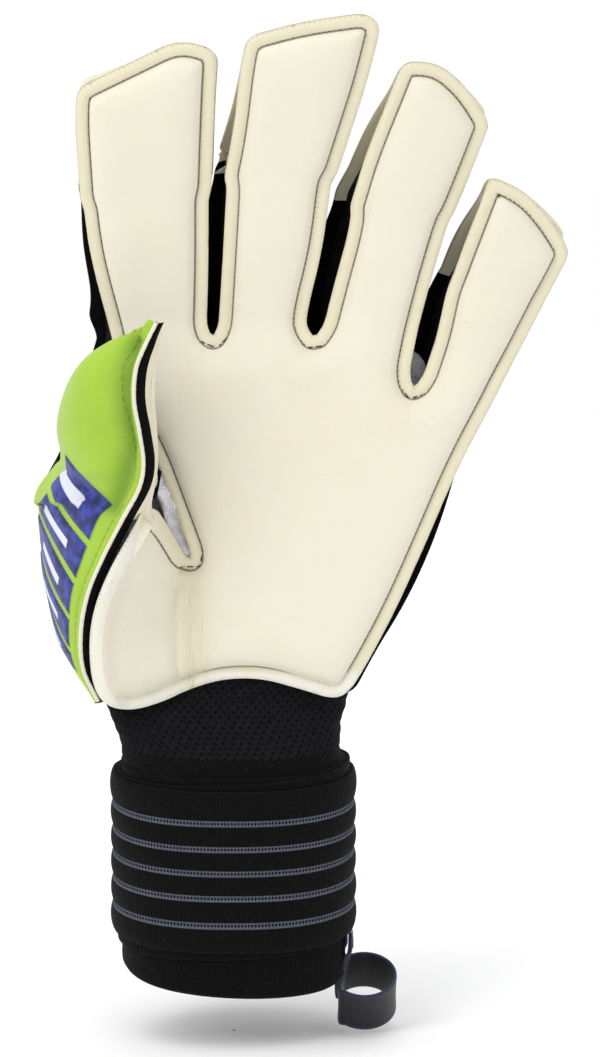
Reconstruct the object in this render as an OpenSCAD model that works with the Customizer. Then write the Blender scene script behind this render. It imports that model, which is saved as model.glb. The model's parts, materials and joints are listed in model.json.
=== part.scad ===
// Goalkeeper glove for the left hand, held open as if a hand were in it.
// Millimetres. +Z runs from the wrist to the fingers, the palm faces -Y, the thumb side is -X.
// The origin is the centre of the wrist opening.

/* [Finger stalls] */
// Depth of a finger stall from front to back
finger_depth = 25; // [23:1:28]
// Thickness of the latex and foam on the palm side
latex_t = 4; // [3:0.5:4.5]
// Thickness of the foam on the back
back_t = 4; // [3:0.5:4.5]
// Thickness of the knitted side gussets
gusset_t = 2; // [1.5:0.5:2.5]
// Thickness of the latex strip round each fingertip
wrap_t = 3; // [2:0.5:3.5]
// Forward bend of each finger at the knuckle, at rest
knuckle_bend = 5; // [0:1:8]
// Further forward bend at the middle of each finger, at rest
middle_bend = 7; // [0:1:10]

/* [Hand] */
// Depth of the hand from the palm latex to the backhand
palm_depth = 30; // [28:1:34]
// Angle that the ball of the thumb turns forward from the palm
thenar_angle = 31; // [25:1:34]

/* [Thumb] */
// Depth of the thumb stall from its back to its latex
thumb_depth = 16; // [14:1:18]
// Turn of the thumb about its own length, from facing forward
thumb_turn = 146; // [142:1:150]
// Sideways lean of the thumb, in its own frame
thumb_lean = -12; // [-15:1:-9]
// Backward lean of the thumb, in its own frame
thumb_back_lean = -10; // [-13:1:-8]
// Forward bend at the middle of the thumb, at rest
thumb_bend = 8; // [0:1:12]

/* [Cuff] */
// Width of the elastic bandage
cuff_w = 66; // [62:1:70]
// Depth of the elastic bandage from front to back
cuff_d = 46; // [42:1:48]
// Height of the elastic bandage
cuff_h = 60; // [58:1:61]
// Thickness of the elastic bandage
bandage_t = 3; // [2:0.5:3.5]
// Height of the wrist strap
strap_h = 46; // [40:1:48]
// Thickness of one turn of the strap
strap_t = 2; // [1.5:0.25:2.25]
// Number of grey stripes on the strap
stripe_count = 5; // [3:1:6]

/* [Pull loop] */
// Inside radius of the ribbon loop
loop_r = 8; // [7:0.5:8.5]
// Width of the ribbon
ribbon_w = 14; // [12:1:15]
// Thickness of the ribbon
ribbon_t = 1.4; // [1:0.2:1.8]
// Forward tilt of the loop's axis from the vertical
loop_tilt = 40; // [36:1:44]

/* [Hidden] */

LATEX = [0.93, 0.90, 0.80];
BLACK = [0.09, 0.09, 0.10];
GREY = [0.45, 0.47, 0.50];
GREEN = [0.62, 0.80, 0.22];
BLUE = [0.16, 0.25, 0.62];
WHITE = [0.92, 0.92, 0.93];

hinge_y = -4;      // the fold hinges lie a little nearer to the palm than to the back
half_fold = 5.5;   // half the height of a fold between two stiff panels
gap = 0.3;         // clearance between separate pieces
half_finger = finger_depth / 2;
half_palm = palm_depth / 2;

// A finger: name, knuckle centre [x, z], width there, fingertip centre [x, z],
// width there, slope of the fingertip edge, height of the middle fold.
index_f = ["index", [-21, 186], 27.5, [-23.9, 258.4], 39, 19.5, 222];
middle_f = ["middle", [9.3, 186], 24, [23.5, 271], 36.5, 9.5, 228];
ring_f = ["ring", [40.9, 186], 26, [60.9, 252.2], 23.2, -37, 217.5];
little_f = ["little", [70.8, 175], 21.6, [85.3, 218], 22.6, -42, 196];
// The thumb is drawn upright in its own frame and then turned into place.
thumb_f = ["thumb", [0, 0], 31, [0, 68], 29, -32, 36];
thumb_root = [-37, -26, 112];

// The left (-1) or right (1) corner of a fingertip.
function tip_corner(f, side) = f[3] + side * f[4] / 2 * [1, tan(f[5])];
// A point on the left or right edge of a finger at height z.
function edge(f, side, z) =
    let (root = f[1] + [side * f[2] / 2, 0], tip = tip_corner(f, side))
    [root[0] + (tip[0] - root[0]) * (z - root[1]) / (tip[1] - root[1]), z];
function base_low(f) = f[1][1] + half_fold;
function base_high(f) = f[6] - half_fold;
function tip_low(f) = f[6] + half_fold;
function palm_top(f) = f[1][1] - half_fold;
function base_shape(f) = [
    edge(f, -1, base_low(f)), edge(f, 1, base_low(f)),
    edge(f, 1, base_high(f)), edge(f, -1, base_high(f))];
// The fingertip down to height z.
function tip_shape(f, z) = [edge(f, -1, z), edge(f, 1, z), tip_corner(f, 1), tip_corner(f, -1)];
function shifted(points, dx) = [for (p = points) [p[0] + dx, p[1]]];
function reversed(points) = [for (i = [len(points) - 1:-1:0]) points[i]];

// A flat slab in the x-z plane between two depths.
module slab(points, y0, y1) {
    translate([0, y1, 0]) rotate([90, 0, 0]) linear_extrude(y1 - y0) polygon(points);
}

// A thin plate stretched over a few points, with round edges.
module plate(points, t) {
    hull() for (p = points) translate(p) sphere(d = t, $fn = 10);
}

// Turns its children about an axis along x through [y, z].
module bent(y, z, angle) {
    translate([0, y, z]) rotate([angle, 0, 0]) translate([0, -y, -z]) children();
}

module placed(f) {
    if (f[0] == "thumb")
        translate(thumb_root) rotate([0, 0, thumb_turn]) rotate([0, thumb_lean, 0])
            rotate([thumb_back_lean, 0, 0]) children();
    else children();
}

function half_depth(f) = f[0] == "thumb" ? thumb_depth / 2 : half_finger;
function root_bend(f) = f[0] == "thumb" ? 0 : knuckle_bend;
function further_bend(f) = f[0] == "thumb" ? thumb_bend : middle_bend;

module at_base(f) { placed(f) bent(hinge_y, f[1][1], root_bend(f)) children(); }
module at_tip(f) { at_base(f) bent(hinge_y, f[6], further_bend(f)) children(); }

// ---- Finger stalls ----

module base_latex(f) {
    color(LATEX) at_base(f) slab(base_shape(f), -half_depth(f), -half_depth(f) + latex_t);
}

module base_back(f) {
    color(f[0] == "thumb" ? GREEN : BLACK)
        at_base(f) slab(base_shape(f), half_depth(f) - back_t, half_depth(f));
}

module base_gussets(f) {
    s = base_shape(f);
    color(BLACK) at_base(f) {
        slab([s[0], s[0] + [gusset_t, 0], s[3] + [gusset_t, 0], s[3]],
            -half_depth(f) + latex_t, half_depth(f) - back_t);
        slab([s[1] - [gusset_t, 0], s[1], s[2], s[2] - [gusset_t, 0]],
            -half_depth(f) + latex_t, half_depth(f) - back_t);
    }
}

module tip_latex(f) {
    color(LATEX) at_tip(f)
        slab(tip_shape(f, tip_low(f)), -half_depth(f), -half_depth(f) + latex_t);
}

module tip_back(f) {
    color(f[0] == "thumb" ? GREEN : BLACK)
        at_tip(f) slab(tip_shape(f, tip_low(f)), half_depth(f) - back_t, half_depth(f));
}

// The strip up one side of the fingertip, over its end and down the other side.
module tip_wrap(f) {
    y0 = -half_depth(f) + latex_t;
    y1 = half_depth(f) - back_t;
    color(LATEX) at_tip(f) translate([0, y1, 0]) rotate([90, 0, 0]) linear_extrude(y1 - y0)
        difference() {
            polygon(tip_shape(f, tip_low(f)));
            offset(delta = -wrap_t) polygon(tip_shape(f, tip_low(f) - 4 * wrap_t));
        }
}

// A thin rectangle across a finger at height z, narrowed by inset.
module ring_end(f, z, half_depth, inset) {
    a = edge(f, -1, z);
    b = edge(f, 1, z);
    translate([a[0] + inset, -half_depth + inset, z - 0.05])
        cube([b[0] - a[0] - 2 * inset, 2 * (half_depth - inset), 0.1]);
}

// The knuckle and middle folds: short soft sleeves between the stiff panels.
module folds(f) {
    root = f[1][1];
    half_root = f[0] == "thumb" ? half_depth(f) : half_palm;
    wall = gusset_t + 0.5;
    color(f[0] == "thumb" ? GREEN : LATEX) {
        difference() {
            hull() {
                placed(f) ring_end(f, root - half_fold + gap, half_root, 0.2);
                at_base(f) ring_end(f, root + half_fold - gap, half_depth(f), 0.2);
            }
            hull() {
                placed(f) ring_end(f, root - half_fold - 0.2, half_root, wall);
                at_base(f) ring_end(f, root + half_fold + 0.2, half_depth(f), wall);
            }
        }
        difference() {
            hull() {
                at_base(f) ring_end(f, f[6] - half_fold + gap, half_depth(f), 0.2);
                at_tip(f) ring_end(f, f[6] + half_fold - gap, half_depth(f), 0.2);
            }
            hull() {
                at_base(f) ring_end(f, f[6] - half_fold - 0.2, half_depth(f), wall);
                at_tip(f) ring_end(f, f[6] + half_fold + 0.2, half_depth(f), wall);
            }
        }
    }
}

// ---- Hand ----

hand_right = [[31, 74], [42, 90], [52, 113], [66, 145]];
crotches = [[55.5, 165], [22.6, 176.5], [-6.2, 176.5]];   // ring-little, middle-ring, index-middle

// The finger ends of the palm and the backhand, from the little finger to the index.
finger_ends = [
    edge(little_f, 1, palm_top(little_f)), edge(little_f, -1, palm_top(little_f)), crotches[0],
    edge(ring_f, 1, palm_top(ring_f)), edge(ring_f, -1, palm_top(ring_f)), crotches[1],
    edge(middle_f, 1, palm_top(middle_f)), edge(middle_f, -1, palm_top(middle_f)), crotches[2],
    edge(index_f, 1, palm_top(index_f)), edge(index_f, -1, palm_top(index_f))];

crease_x = -18;   // the crease beside the ball of the thumb
palm_shape = concat(
    [[crease_x, 75], [-4, 81.5], [8, 81.5], [20, 78]], hand_right, finger_ends,
    [[-30, 162], [-22, 143], [-11.5, 119], [-13, 114.5], [crease_x, 113]]);
// The ball of the thumb, with x measured from the crease along its own slope.
thenar_shape = [
    [3, 75], [-8, 72.5], [-18, 72], [-25, 77], [-27, 90], [-25, 100], [-17, 106], [3, 108]];

module palm_latex() {
    color(LATEX) {
        slab(palm_shape, -half_palm, -half_palm + latex_t);
        translate([crease_x, -half_palm, 0]) rotate([0, 0, thenar_angle])
            slab(thenar_shape, 0, latex_t);
    }
}

// A thin knitted lining behind the palm latex.
module palm_lining() {
    lining_t = 0.8;
    y0 = -half_palm + latex_t;
    color(WHITE) slab([[-8, 84], [18, 84], [38, 98], [60, 145], [62, 160], [-24, 170], [-8, 122]],
        y0, y0 + lining_t);
}

// The thread of the seam along the heel of the palm, lying on the latex.
module palm_seam_thread() {
    thread = 0.6;
    low = [[-4, 84.5], [8, 84.5], [20, 81], [30, 77.5]];
    color(GREY) slab(concat(low, reversed([for (p = low) p + [0, thread]])),
        -half_palm - thread, -half_palm);
}

hand_left = [[-40, 158], [-50, 135], [-54, 118], [-52, 100], [-46, 86], [-36, 74]];

module backhand_panel() {
    color(BLACK) slab(concat(hand_right, finger_ends, hand_left), half_palm - back_t, half_palm);
}

green_t = 2;
module backhand_green_panel() {
    color(GREEN) slab([[-32, 84], [28, 84], [44, 112], [58, 146], [54, 156], [38, 166],
        [-24, 166], [-40, 148], [-46, 118]], half_palm, half_palm + green_t);
}

// Five slanting bars fan across the backhand.
bar_count = 5;
bar_t = 1.2;
function bar(i) = let (x = -36 + 15 * i, lean = 3.5 * i) [
    [x, 94 + i], [x + 11, 93 + i], [x + 13 + lean, 140 + 1.5 * i], [x + 2 + lean, 142 + 1.5 * i]];

module backhand_blue_bars() {
    color(BLUE) for (i = [0:bar_count - 1])
        slab(bar(i), half_palm + green_t, half_palm + green_t + bar_t);
}

module backhand_pale_bars() {
    pale_t = 0.6;
    y0 = half_palm + green_t + bar_t;
    color(WHITE) for (i = [0:bar_count - 1])
        translate([0, y0 + pale_t, 0]) rotate([90, 0, 0]) linear_extrude(pale_t)
            offset(delta = -4) polygon(bar(i));
}

// The side of the hand below the thumb, in two facets round from the palm seam to the back.
module side_panel_green() {
    color(GREEN) {
        plate([[-46.5, -21, 103], [-55, -6.5, 104], [-44.5, -4, 78], [-40.5, -14, 77]], 2.4);
        plate([[-55.5, -3, 104], [-53, 9.2, 104], [-41, 9.2, 80], [-45, -0.5, 78]], 2.4);
    }
}

module side_panel_blue_bars() {
    color(BLUE) for (i = [0:2]) let (z = 82 + 7 * i, x = -45.2 - 3.2 * i)
        plate([[x - 2.6, -8 - 1.8 * i, z], [x - 3.4, -5.6 - 1.2 * i, z + 0.6],
            [x - 4.4, -6.8 - 1.2 * i, z + 4.2], [x - 3.6, -9.2 - 1.8 * i, z + 3.6]], 1);
}

module ulnar_gusset() {
    right = concat(hand_right, [edge(little_f, 1, palm_top(little_f))]);
    color(BLACK) slab(concat(right, reversed(shifted(right, -gusset_t))),
        -half_palm + latex_t, half_palm - back_t);
}

// The black side wall from the index finger down to the thumb.
module index_side_gusset() {
    y = half_palm - back_t - gusset_t / 2 - gap;
    color(BLACK) plate([[-31.5, -y, 178], [-20.5, -y, 146], [-44, y, 146], [-31.5, y, 178]], gusset_t);
}

module thumb_web_gusset() {
    y = half_palm - back_t - gusset_t / 2 - gap;
    color(BLACK) plate([[-19.5, -y, 142.5], [-10, -y, 121.5], [-44, y, 128], [-44.5, y, 142.5]],
        gusset_t);
}

// One short wall closes the gap between two fingers at its foot.
module crotch_gussets() {
    color(BLACK) for (c = crotches)
        slab([c + [-2.5, -2.2], c + [2.5, -2.2], c + [2, -0.2], c + [-2, -0.2]],
            -half_palm + latex_t, half_palm - back_t);
}

// ---- Wrist and cuff ----

// A rectangle with round corners, grown outwards by d from the bandage's outside.
module cuff_shape(d) {
    r = 20 + d;
    flat_x = cuff_w / 2 - 20;
    flat_y = cuff_d / 2 - 20;
    square([2 * flat_x, cuff_d + 2 * d], center = true);
    square([cuff_w + 2 * d, 2 * flat_y], center = true);
    for (x = [-flat_x, flat_x], y = [-flat_y, flat_y]) translate([x, y]) circle(r, $fn = 64);
}

module sleeve(z0, z1, inside, outside) {
    translate([0, 0, z0]) linear_extrude(z1 - z0) difference() {
        cuff_shape(outside);
        cuff_shape(inside);
    }
}

hem_h = 4;
strap_low = 10;
hinge_gap = 6;     // half the height of the wrist fold

module cuff_bandage() { color(BLACK) sleeve(hem_h, cuff_h, -bandage_t, 0); }
module cuff_hem() { color(BLACK) sleeve(0, hem_h, -bandage_t, 0.8); }
module strap_inner_turn() { color(BLACK) sleeve(strap_low - 2, strap_low + strap_h + 1.5, 0, strap_t); }
module strap_outer_turn() {
    color(BLACK) sleeve(strap_low, strap_low + strap_h, strap_t, 2 * strap_t);
}

module strap_stripes() {
    pitch = strap_h / (stripe_count + 1);
    stripe_h = 2;
    color(GREY) for (i = [1:stripe_count])
        let (z = strap_low + pitch * i + 0.5)
        difference() {
            sleeve(z - stripe_h / 2, z + stripe_h / 2, 2 * strap_t, 2 * strap_t + 0.6);
            translate([-20, cuff_d / 2, z - 2]) cube([40, 12, 4]);
        }
}

back_face = cuff_d / 2 + 2 * strap_t;   // the rear face of the wrapped strap
patch_t = 1;
tab_low = strap_low + 3;
tab_h = strap_h - 6;

module strap_loop_patch() {
    color(GREY) translate([-12, back_face, tab_low]) cube([24, patch_t, tab_h]);
}

module strap_hook_patch() {
    color(BLACK) translate([-12, back_face + patch_t + gap, tab_low + 2])
        cube([24, patch_t, tab_h - 4]);
}

// The free end of the strap, with a rounded pull end.
module strap_tab() {
    color(BLACK) translate([0, back_face + 2 * patch_t + gap, 0]) {
        translate([-12.5, 0, tab_low]) cube([29, strap_t, tab_h]);
        translate([16.5, 0, tab_low + tab_h / 2]) rotate([-90, 0, 0])
            intersection() {
                cylinder(h = strap_t, r = tab_h / 2, $fn = 48);
                translate([0, -tab_h, -1]) cube([9, 2 * tab_h, strap_t + 2]);
            }
    }
}

side_face = cuff_w / 2;
loop_pos = [side_face + 8, 0, -10];

module pull_loop_tack() {
    color(BLACK) translate([side_face, -6, 4.5]) cube([ribbon_t, 12, 3.2]);
}

// A ribbon leg and the round loop that hangs from it.
module pull_loop() {
    leg_x = side_face + 1.1;
    color(BLACK) difference() {
        union() {
            translate(loop_pos) rotate([loop_tilt, 0, 0])
                cylinder(h = ribbon_w, r = loop_r + ribbon_t, center = true, $fn = 64);
            translate([leg_x, -6, loop_pos[2]]) cube([ribbon_t, 12, 4 - loop_pos[2]]);
        }
        translate(loop_pos) rotate([loop_tilt, 0, 0])
            cylinder(h = 2 * ribbon_w, r = loop_r, center = true, $fn = 64);
    }
}

// The soft sleeve at the wrist, where the hand bends against the cuff.
module wrist_fold() {
    mid = cuff_h + hinge_gap;
    color(BLACK) difference() {
        hull() {
            translate([0, 0, mid - hinge_gap + gap]) linear_extrude(0.2) cuff_shape(-0.5, $fn = 24);
            translate([-34.5, -17, mid + hinge_gap - 0.5]) cube([64.5, 31, 0.2]);
        }
        hull() {
            translate([0, 0, mid - hinge_gap]) linear_extrude(0.2) cuff_shape(-2.5, $fn = 24);
            translate([-32.5, -15, mid + hinge_gap - 0.2]) cube([60.5, 27, 0.2]);
        }
    }
}

// The open-mesh panel between the heel of the palm and the cuff.
module wrist_mesh_panel() {
    mesh_t = 1.6;
    y1 = -half_palm + latex_t;
    color(BLACK) slab([[-15, 72.5], [26.5, 72.5], [31, 80], [20, 90], [-8, 92], [-14, 88]],
        y1 + 0.8 + gap, y1 + 0.8 + gap + mesh_t);
}

cuff_bandage();
cuff_hem();
strap_inner_turn();
strap_outer_turn();
strap_stripes();
strap_loop_patch();
strap_tab();
strap_hook_patch();
pull_loop();
pull_loop_tack();
wrist_fold();
wrist_mesh_panel();
palm_latex();
palm_lining();
palm_seam_thread();
backhand_panel();
backhand_green_panel();
backhand_blue_bars();
backhand_pale_bars();
side_panel_green();
side_panel_blue_bars();
ulnar_gusset();
index_side_gusset();
thumb_web_gusset();
crotch_gussets();
for (f = [index_f, middle_f, ring_f, little_f, thumb_f]) {
    folds(f);
    base_latex(f);
    base_back(f);
    base_gussets(f);
    tip_latex(f);
    tip_back(f);
    tip_wrap(f);
}
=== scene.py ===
"""The looks of a left-hand goalkeeper glove, built round its CAD frame.

Shapes are worked out in millimetres with the fingers straight, then bent to the frame's rest pose.
+Z runs from the wrist to the fingers, the palm faces -Y and the thumb side is -X.
"""
import json
import math

import bpy
import numpy as np
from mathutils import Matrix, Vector, geometry


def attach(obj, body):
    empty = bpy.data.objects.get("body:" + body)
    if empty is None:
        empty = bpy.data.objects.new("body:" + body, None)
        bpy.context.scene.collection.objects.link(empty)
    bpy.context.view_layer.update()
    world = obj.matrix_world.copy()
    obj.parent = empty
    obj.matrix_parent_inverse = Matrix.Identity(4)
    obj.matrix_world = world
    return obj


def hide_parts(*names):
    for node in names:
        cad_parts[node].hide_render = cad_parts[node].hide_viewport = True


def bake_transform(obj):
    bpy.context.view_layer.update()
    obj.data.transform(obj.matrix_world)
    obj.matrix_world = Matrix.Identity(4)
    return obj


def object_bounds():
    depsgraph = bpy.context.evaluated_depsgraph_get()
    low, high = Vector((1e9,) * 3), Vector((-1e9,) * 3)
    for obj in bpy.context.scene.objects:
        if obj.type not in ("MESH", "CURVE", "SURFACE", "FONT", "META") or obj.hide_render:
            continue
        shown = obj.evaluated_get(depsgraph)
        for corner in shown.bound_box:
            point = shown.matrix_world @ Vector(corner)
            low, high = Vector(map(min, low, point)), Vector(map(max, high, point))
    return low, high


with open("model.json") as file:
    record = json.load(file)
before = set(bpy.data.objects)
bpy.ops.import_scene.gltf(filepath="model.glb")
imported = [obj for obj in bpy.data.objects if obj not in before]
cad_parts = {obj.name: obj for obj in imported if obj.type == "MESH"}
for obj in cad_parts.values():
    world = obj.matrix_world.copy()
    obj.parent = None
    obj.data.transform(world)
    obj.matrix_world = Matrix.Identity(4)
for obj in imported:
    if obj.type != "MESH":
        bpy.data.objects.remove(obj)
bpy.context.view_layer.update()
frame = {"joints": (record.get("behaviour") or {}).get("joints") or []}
JOINTS = {joint["name"]: joint for joint in frame["joints"]}
MM = 0.001
CHUNK = 2000           # points measured at a time, to save memory

# ---- Measures shared by the pieces, in millimetres ----

HINGE_Y = -4.0
KNUCKLE_BEND = 5.0     # degrees, forward, at rest
MIDDLE_BEND = 7.0
FOLD = 7.0             # half the height over which a joint bends
SEAM = 3.8             # from a panel's cut edge to its stitch line
KNUCKLE, MIDDLE, TIP = range(3)
FINGERS = {            # knuckle height, middle joint height, tip height
    "index": (186.0, 222.0, 268.0),
    "middle": (186.0, 228.0, 275.0),
    "ring": (186.0, 217.5, 262.0),
    "little": (175.0, 196.0, 229.0),
}


def smooth(t):
    """0 up to t = 0, easing up to 1 from t = 1 on."""
    t = np.clip(t, 0.0, 1.0)
    return t * t * (3 - 2 * t)


def bump(t):
    """1 at t = 0, falling to nothing by about t = 2."""
    return np.exp(-t * t)


def ripple(x, z, length, seed):
    """Gentle uneven waves of about that length, between -1 and 1."""
    k = 2 * math.pi / length
    a = np.sin(k * (0.80 * x + 0.60 * z) + seed)
    b = np.sin(k * 1.31 * (0.35 * x - 0.94 * z) + 2.1 * seed)
    c = np.sin(k * 0.73 * (-0.71 * x - 0.70 * z) + 3.7 * seed)
    return (a + b + c) / 3


def unit(vectors):
    """The vectors, each made one unit long."""
    return vectors / (np.linalg.norm(vectors, axis=1)[:, None] + 1e-9)


# ---- Outlines in the x-z plane ----

def lengths_along(line):
    """How far along a polyline each of its points is."""
    return np.concatenate([[0], np.cumsum(np.linalg.norm(np.diff(line, axis=0), axis=1))])


def resample(points, step, closed=True):
    """Evenly spaced points along a polyline."""
    points = np.asarray(points, float)
    if closed:
        points = np.vstack([points, points[:1]])
    along = lengths_along(points)
    count = max(int(round(along[-1] / step)), 4)
    at = np.linspace(0, along[-1], count + 1)
    out = np.stack([np.interp(at, along, points[:, i]) for i in range(points.shape[1])], axis=1)
    return out[:-1] if closed else out


def rounded(corners, step=1.4):
    """A closed polyline past corners (x, z, reach), each cut by a curve that starts that far from it."""
    points = []
    for i, (x, z, reach) in enumerate(corners):
        corner = np.array([x, z])
        before = np.array(corners[i - 1][:2]) - corner
        after = np.array(corners[(i + 1) % len(corners)][:2]) - corner
        start = corner + before * min(reach / np.linalg.norm(before), 0.5)
        end = corner + after * min(reach / np.linalg.norm(after), 0.5)
        for t in np.linspace(0, 1, 9):
            points.append((1 - t) ** 2 * start + 2 * t * (1 - t) * corner + t * t * end)
    return resample(points, step)


def edge_normals(points):
    """Unit vectors to the right of the direction of travel, which is inwards here."""
    ahead = unit(np.roll(points, -1, axis=0) - np.roll(points, 1, axis=0))
    return np.stack([ahead[:, 1], -ahead[:, 0]], axis=1)


def to_outline(points, outline):
    """Distance from each point to a closed outline."""
    side = np.roll(outline, -1, axis=0) - outline
    size = (side ** 2).sum(axis=1)
    distance = np.empty(len(points))
    for i in range(0, len(points), CHUNK):
        p = points[i:i + CHUNK, None, :]
        t = np.clip(((p - outline) * side).sum(axis=2) / size, 0, 1)
        away = np.linalg.norm(p - (outline + t[..., None] * side), axis=2)
        distance[i:i + CHUNK] = away.min(axis=1)
    return distance


def inset(outline, depth):
    """The outline moved inwards, without the loops that this makes in tight corners."""
    moved = outline + edge_normals(outline) * depth
    return moved[to_outline(moved, outline) > depth * 0.97]


def inside(points, outline):
    """True for the points within a closed outline."""
    x, z = points[:, 0], points[:, 1]
    result = np.zeros(len(points), bool)
    for (x0, z0), (x1, z1) in zip(outline, np.roll(outline, -1, axis=0)):
        if z0 == z1:
            continue
        crosses = ((z0 > z) != (z1 > z)) & (x < (x1 - x0) * (z - z0) / (z1 - z0) + x0)
        result ^= crosses
    return result


# Each corner is x, z and how far the rounding reaches.
FINGER_CORNERS = [
    (-36.0, 187, 12), (-40.6, 205, 14), (-42.2, 219, 2.0), (-43.2, 221.5, 2), (-44.3, 245, 8),
    (-43.6, 254.5, 3.4), (-14.5, 268.8, 6), (-3.6, 265.5, 4.2), (-4.6, 249, 12), (-5.6, 225, 3),
    (-6.5, 222, 2), (-6.6, 203, 12), (-7.2, 184.5, 2), (-5.6, 180.8, 1.5), (-3.8, 184.5, 2),
    (-2.6, 203, 12), (-1.3, 225, 2), (-2.0, 228.5, 2), (0.8, 243, 10), (2.9, 261, 8),
    (4.7, 269.3, 3.6), (20, 273.6, 8), (38.5, 276.2, 4), (42.6, 272.5, 3), (38.8, 256.5, 10),
    (33.6, 240, 8), (30.2, 229, 2), (28.6, 226.5, 2), (26.2, 207, 12), (22.2, 191, 8),
    (21.4, 184.8, 2), (23.8, 180.6, 1.7), (26.6, 184.8, 2), (28.8, 194, 8), (33.6, 212, 8),
    (34.3, 217.5, 2), (34.0, 220, 2), (38.2, 235, 8), (44.0, 250, 8), (48.8, 262.5, 3.4),
    (59.0, 262.0, 5), (67.5, 254.5, 6), (73.6, 244.5, 3), (72.2, 240.5, 2), (68.0, 229, 8),
    (63.6, 217.5, 2), (62.4, 215.5, 2), (57.8, 200, 10), (53.8, 184, 8), (51.2, 171, 3),
    (52.4, 166.2, 1.8), (55.4, 170, 2.4), (59.2, 182, 6), (61.6, 194, 2), (62.4, 197, 2),
    (67.2, 211, 8), (71.0, 221.5, 6), (73.8, 229.8, 3), (84.0, 225.2, 6), (91.2, 217.2, 5),
    (97.2, 207.4, 3.4), (90.8, 193.5, 12), (77.7, 166.8, 14),
]
RIGHT_CORNERS = [(66.1, 145, 16), (56.4, 121.8, 16), (47.5, 101.5, 12), (38.8, 85, 7)]
FRONT_CORNERS = FINGER_CORNERS + RIGHT_CORNERS + [
    (34.0, 77.2, 4), (29.5, 75.2, 4), (19.7, 78.3, 9), (8.1, 81.6, 7), (-3.5, 81.2, 7),
    (-12.2, 78.3, 7), (-21.5, 74.2, 7), (-30, 72.2, 5), (-37.2, 74, 4), (-40.6, 81, 6),
    (-41.2, 95, 8), (-38.8, 107, 8), (-33.8, 118.5, 8), (-27.6, 129.5, 6), (-24.6, 134.8, 1.6),
    (-21.4, 133.2, 1.6), (-13.8, 118, 2), (-12.2, 116.2, 1.4), (-12.2, 118.8, 2),
    (-17.6, 133.5, 4), (-22.5, 147, 8), (-31, 163, 8), (-33.5, 176, 8),
]
BACK_CORNERS = FINGER_CORNERS + [
    (68.0, 147, 12), (60.8, 121.8, 12), (52.0, 101.5, 12), (42.0, 85, 7), (35.5, 72.5, 4),
    (-33, 72.5, 4), (-43, 84, 8), (-50.5, 99, 8), (-55.5, 116, 8), (-56.0, 131, 6),
    (-49.8, 150, 10), (-42.5, 164, 10), (-41.5, 176, 6),
]
FRONT = rounded(FRONT_CORNERS)
BACK = rounded(BACK_CORNERS)


def finger_of(x, z):
    """Index of the finger that each flat point belongs to."""
    which = np.zeros(len(x), int)
    which[x > -4.8 + 0.07 * (z - 181)] = 1
    which[x > 24.3 + 0.243 * (z - 181)] = 2
    which[(x > 53.2 + 0.272 * (z - 168)) & (z < 232)] = 3
    return which


def finger_height(part, x, z):
    """For each flat point, its finger's knuckle, middle joint or tip height."""
    return np.array([heights[part] for heights in FINGERS.values()])[finger_of(x, z)]


def finger_zones(x, z):
    """The zone of each flat point: hand, or a finger's knuckle or middle zone."""
    zones = np.full(len(x), "hand", dtype="<U10")
    which = finger_of(x, z)
    for i, (name, (knuckle, middle, _)) in enumerate(FINGERS.items()):
        mine = which == i
        zones[mine & (z > knuckle - 10)] = name + "_k"
        zones[mine & (z > (knuckle + middle) / 2)] = name + "_m"
    return zones


def turned(y, z, centre_y, centre_z, degrees):
    """y and z turned about a point in the y-z plane."""
    angle = np.radians(degrees)
    dy, dz = y - centre_y, z - centre_z
    return (centre_y + dy * np.cos(angle) - dz * np.sin(angle),
            centre_z + dy * np.sin(angle) + dz * np.cos(angle))


def bend_fingers(points, flat=None):
    """Bends straight fingers forward to the rest pose. flat gives the x and z that choose the finger."""
    points = points.copy()
    flat = points[:, [0, 2]] if flat is None else flat
    which = finger_of(flat[:, 0], flat[:, 1])
    for i, (knuckle, middle, _) in enumerate(FINGERS.values()):
        mine = which == i
        y, z = points[mine, 1], points[mine, 2]
        flat_z = flat[mine, 1]
        at_middle = smooth((flat_z - middle + FOLD) / (2 * FOLD))
        at_knuckle = smooth((flat_z - knuckle + FOLD) / (2 * FOLD))
        y, z = turned(y, z, HINGE_Y, middle, MIDDLE_BEND * at_middle)
        y, z = turned(y, z, HINGE_Y, knuckle, KNUCKLE_BEND * at_knuckle)
        points[mine, 1], points[mine, 2] = y, z
    return points


# ---- Thumb frame ----

THUMB_HINGE = np.array(JOINTS["thumb_knuckle"]["pos_m"]) / MM
THUMB_MIDDLE = np.array(JOINTS["thumb_middle_joint"]["pos_m"]) / MM
THUMB_AXIS = (THUMB_MIDDLE - THUMB_HINGE) / np.linalg.norm(THUMB_MIDDLE - THUMB_HINGE)
THUMB_BLEND = (5.0, 20.0)     # along the thumb from its root, where the hand's zone gives way to the thumb's two zones


def thumb_zones(points):
    """The zone of each point of the thumb, by how far along the thumb it is."""
    s = (points - THUMB_HINGE) @ THUMB_AXIS
    zones = np.full(len(points), "hand", dtype="<U10")
    zones[s > THUMB_BLEND[0] - 1] = "thumb_k"
    zones[s > THUMB_BLEND[1] + 1] = "thumb_m"
    return zones


# ---- Meshes ----

def vertex_normals(points, faces):
    """The mean of the normals of the faces round each point, larger faces counting for more."""
    normals = np.zeros_like(points)
    for size in (3, 4):
        group = np.array([f for f in faces if len(f) == size])
        if not len(group):
            continue
        p = points[group]
        n = np.cross(p[:, size - 2] - p[:, 0], p[:, size - 1] - p[:, 1]) if size == 4 else \
            np.cross(p[:, 1] - p[:, 0], p[:, 2] - p[:, 0])
        for corner in range(size):
            np.add.at(normals, group[:, corner], n)
    return unit(normals)


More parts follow.
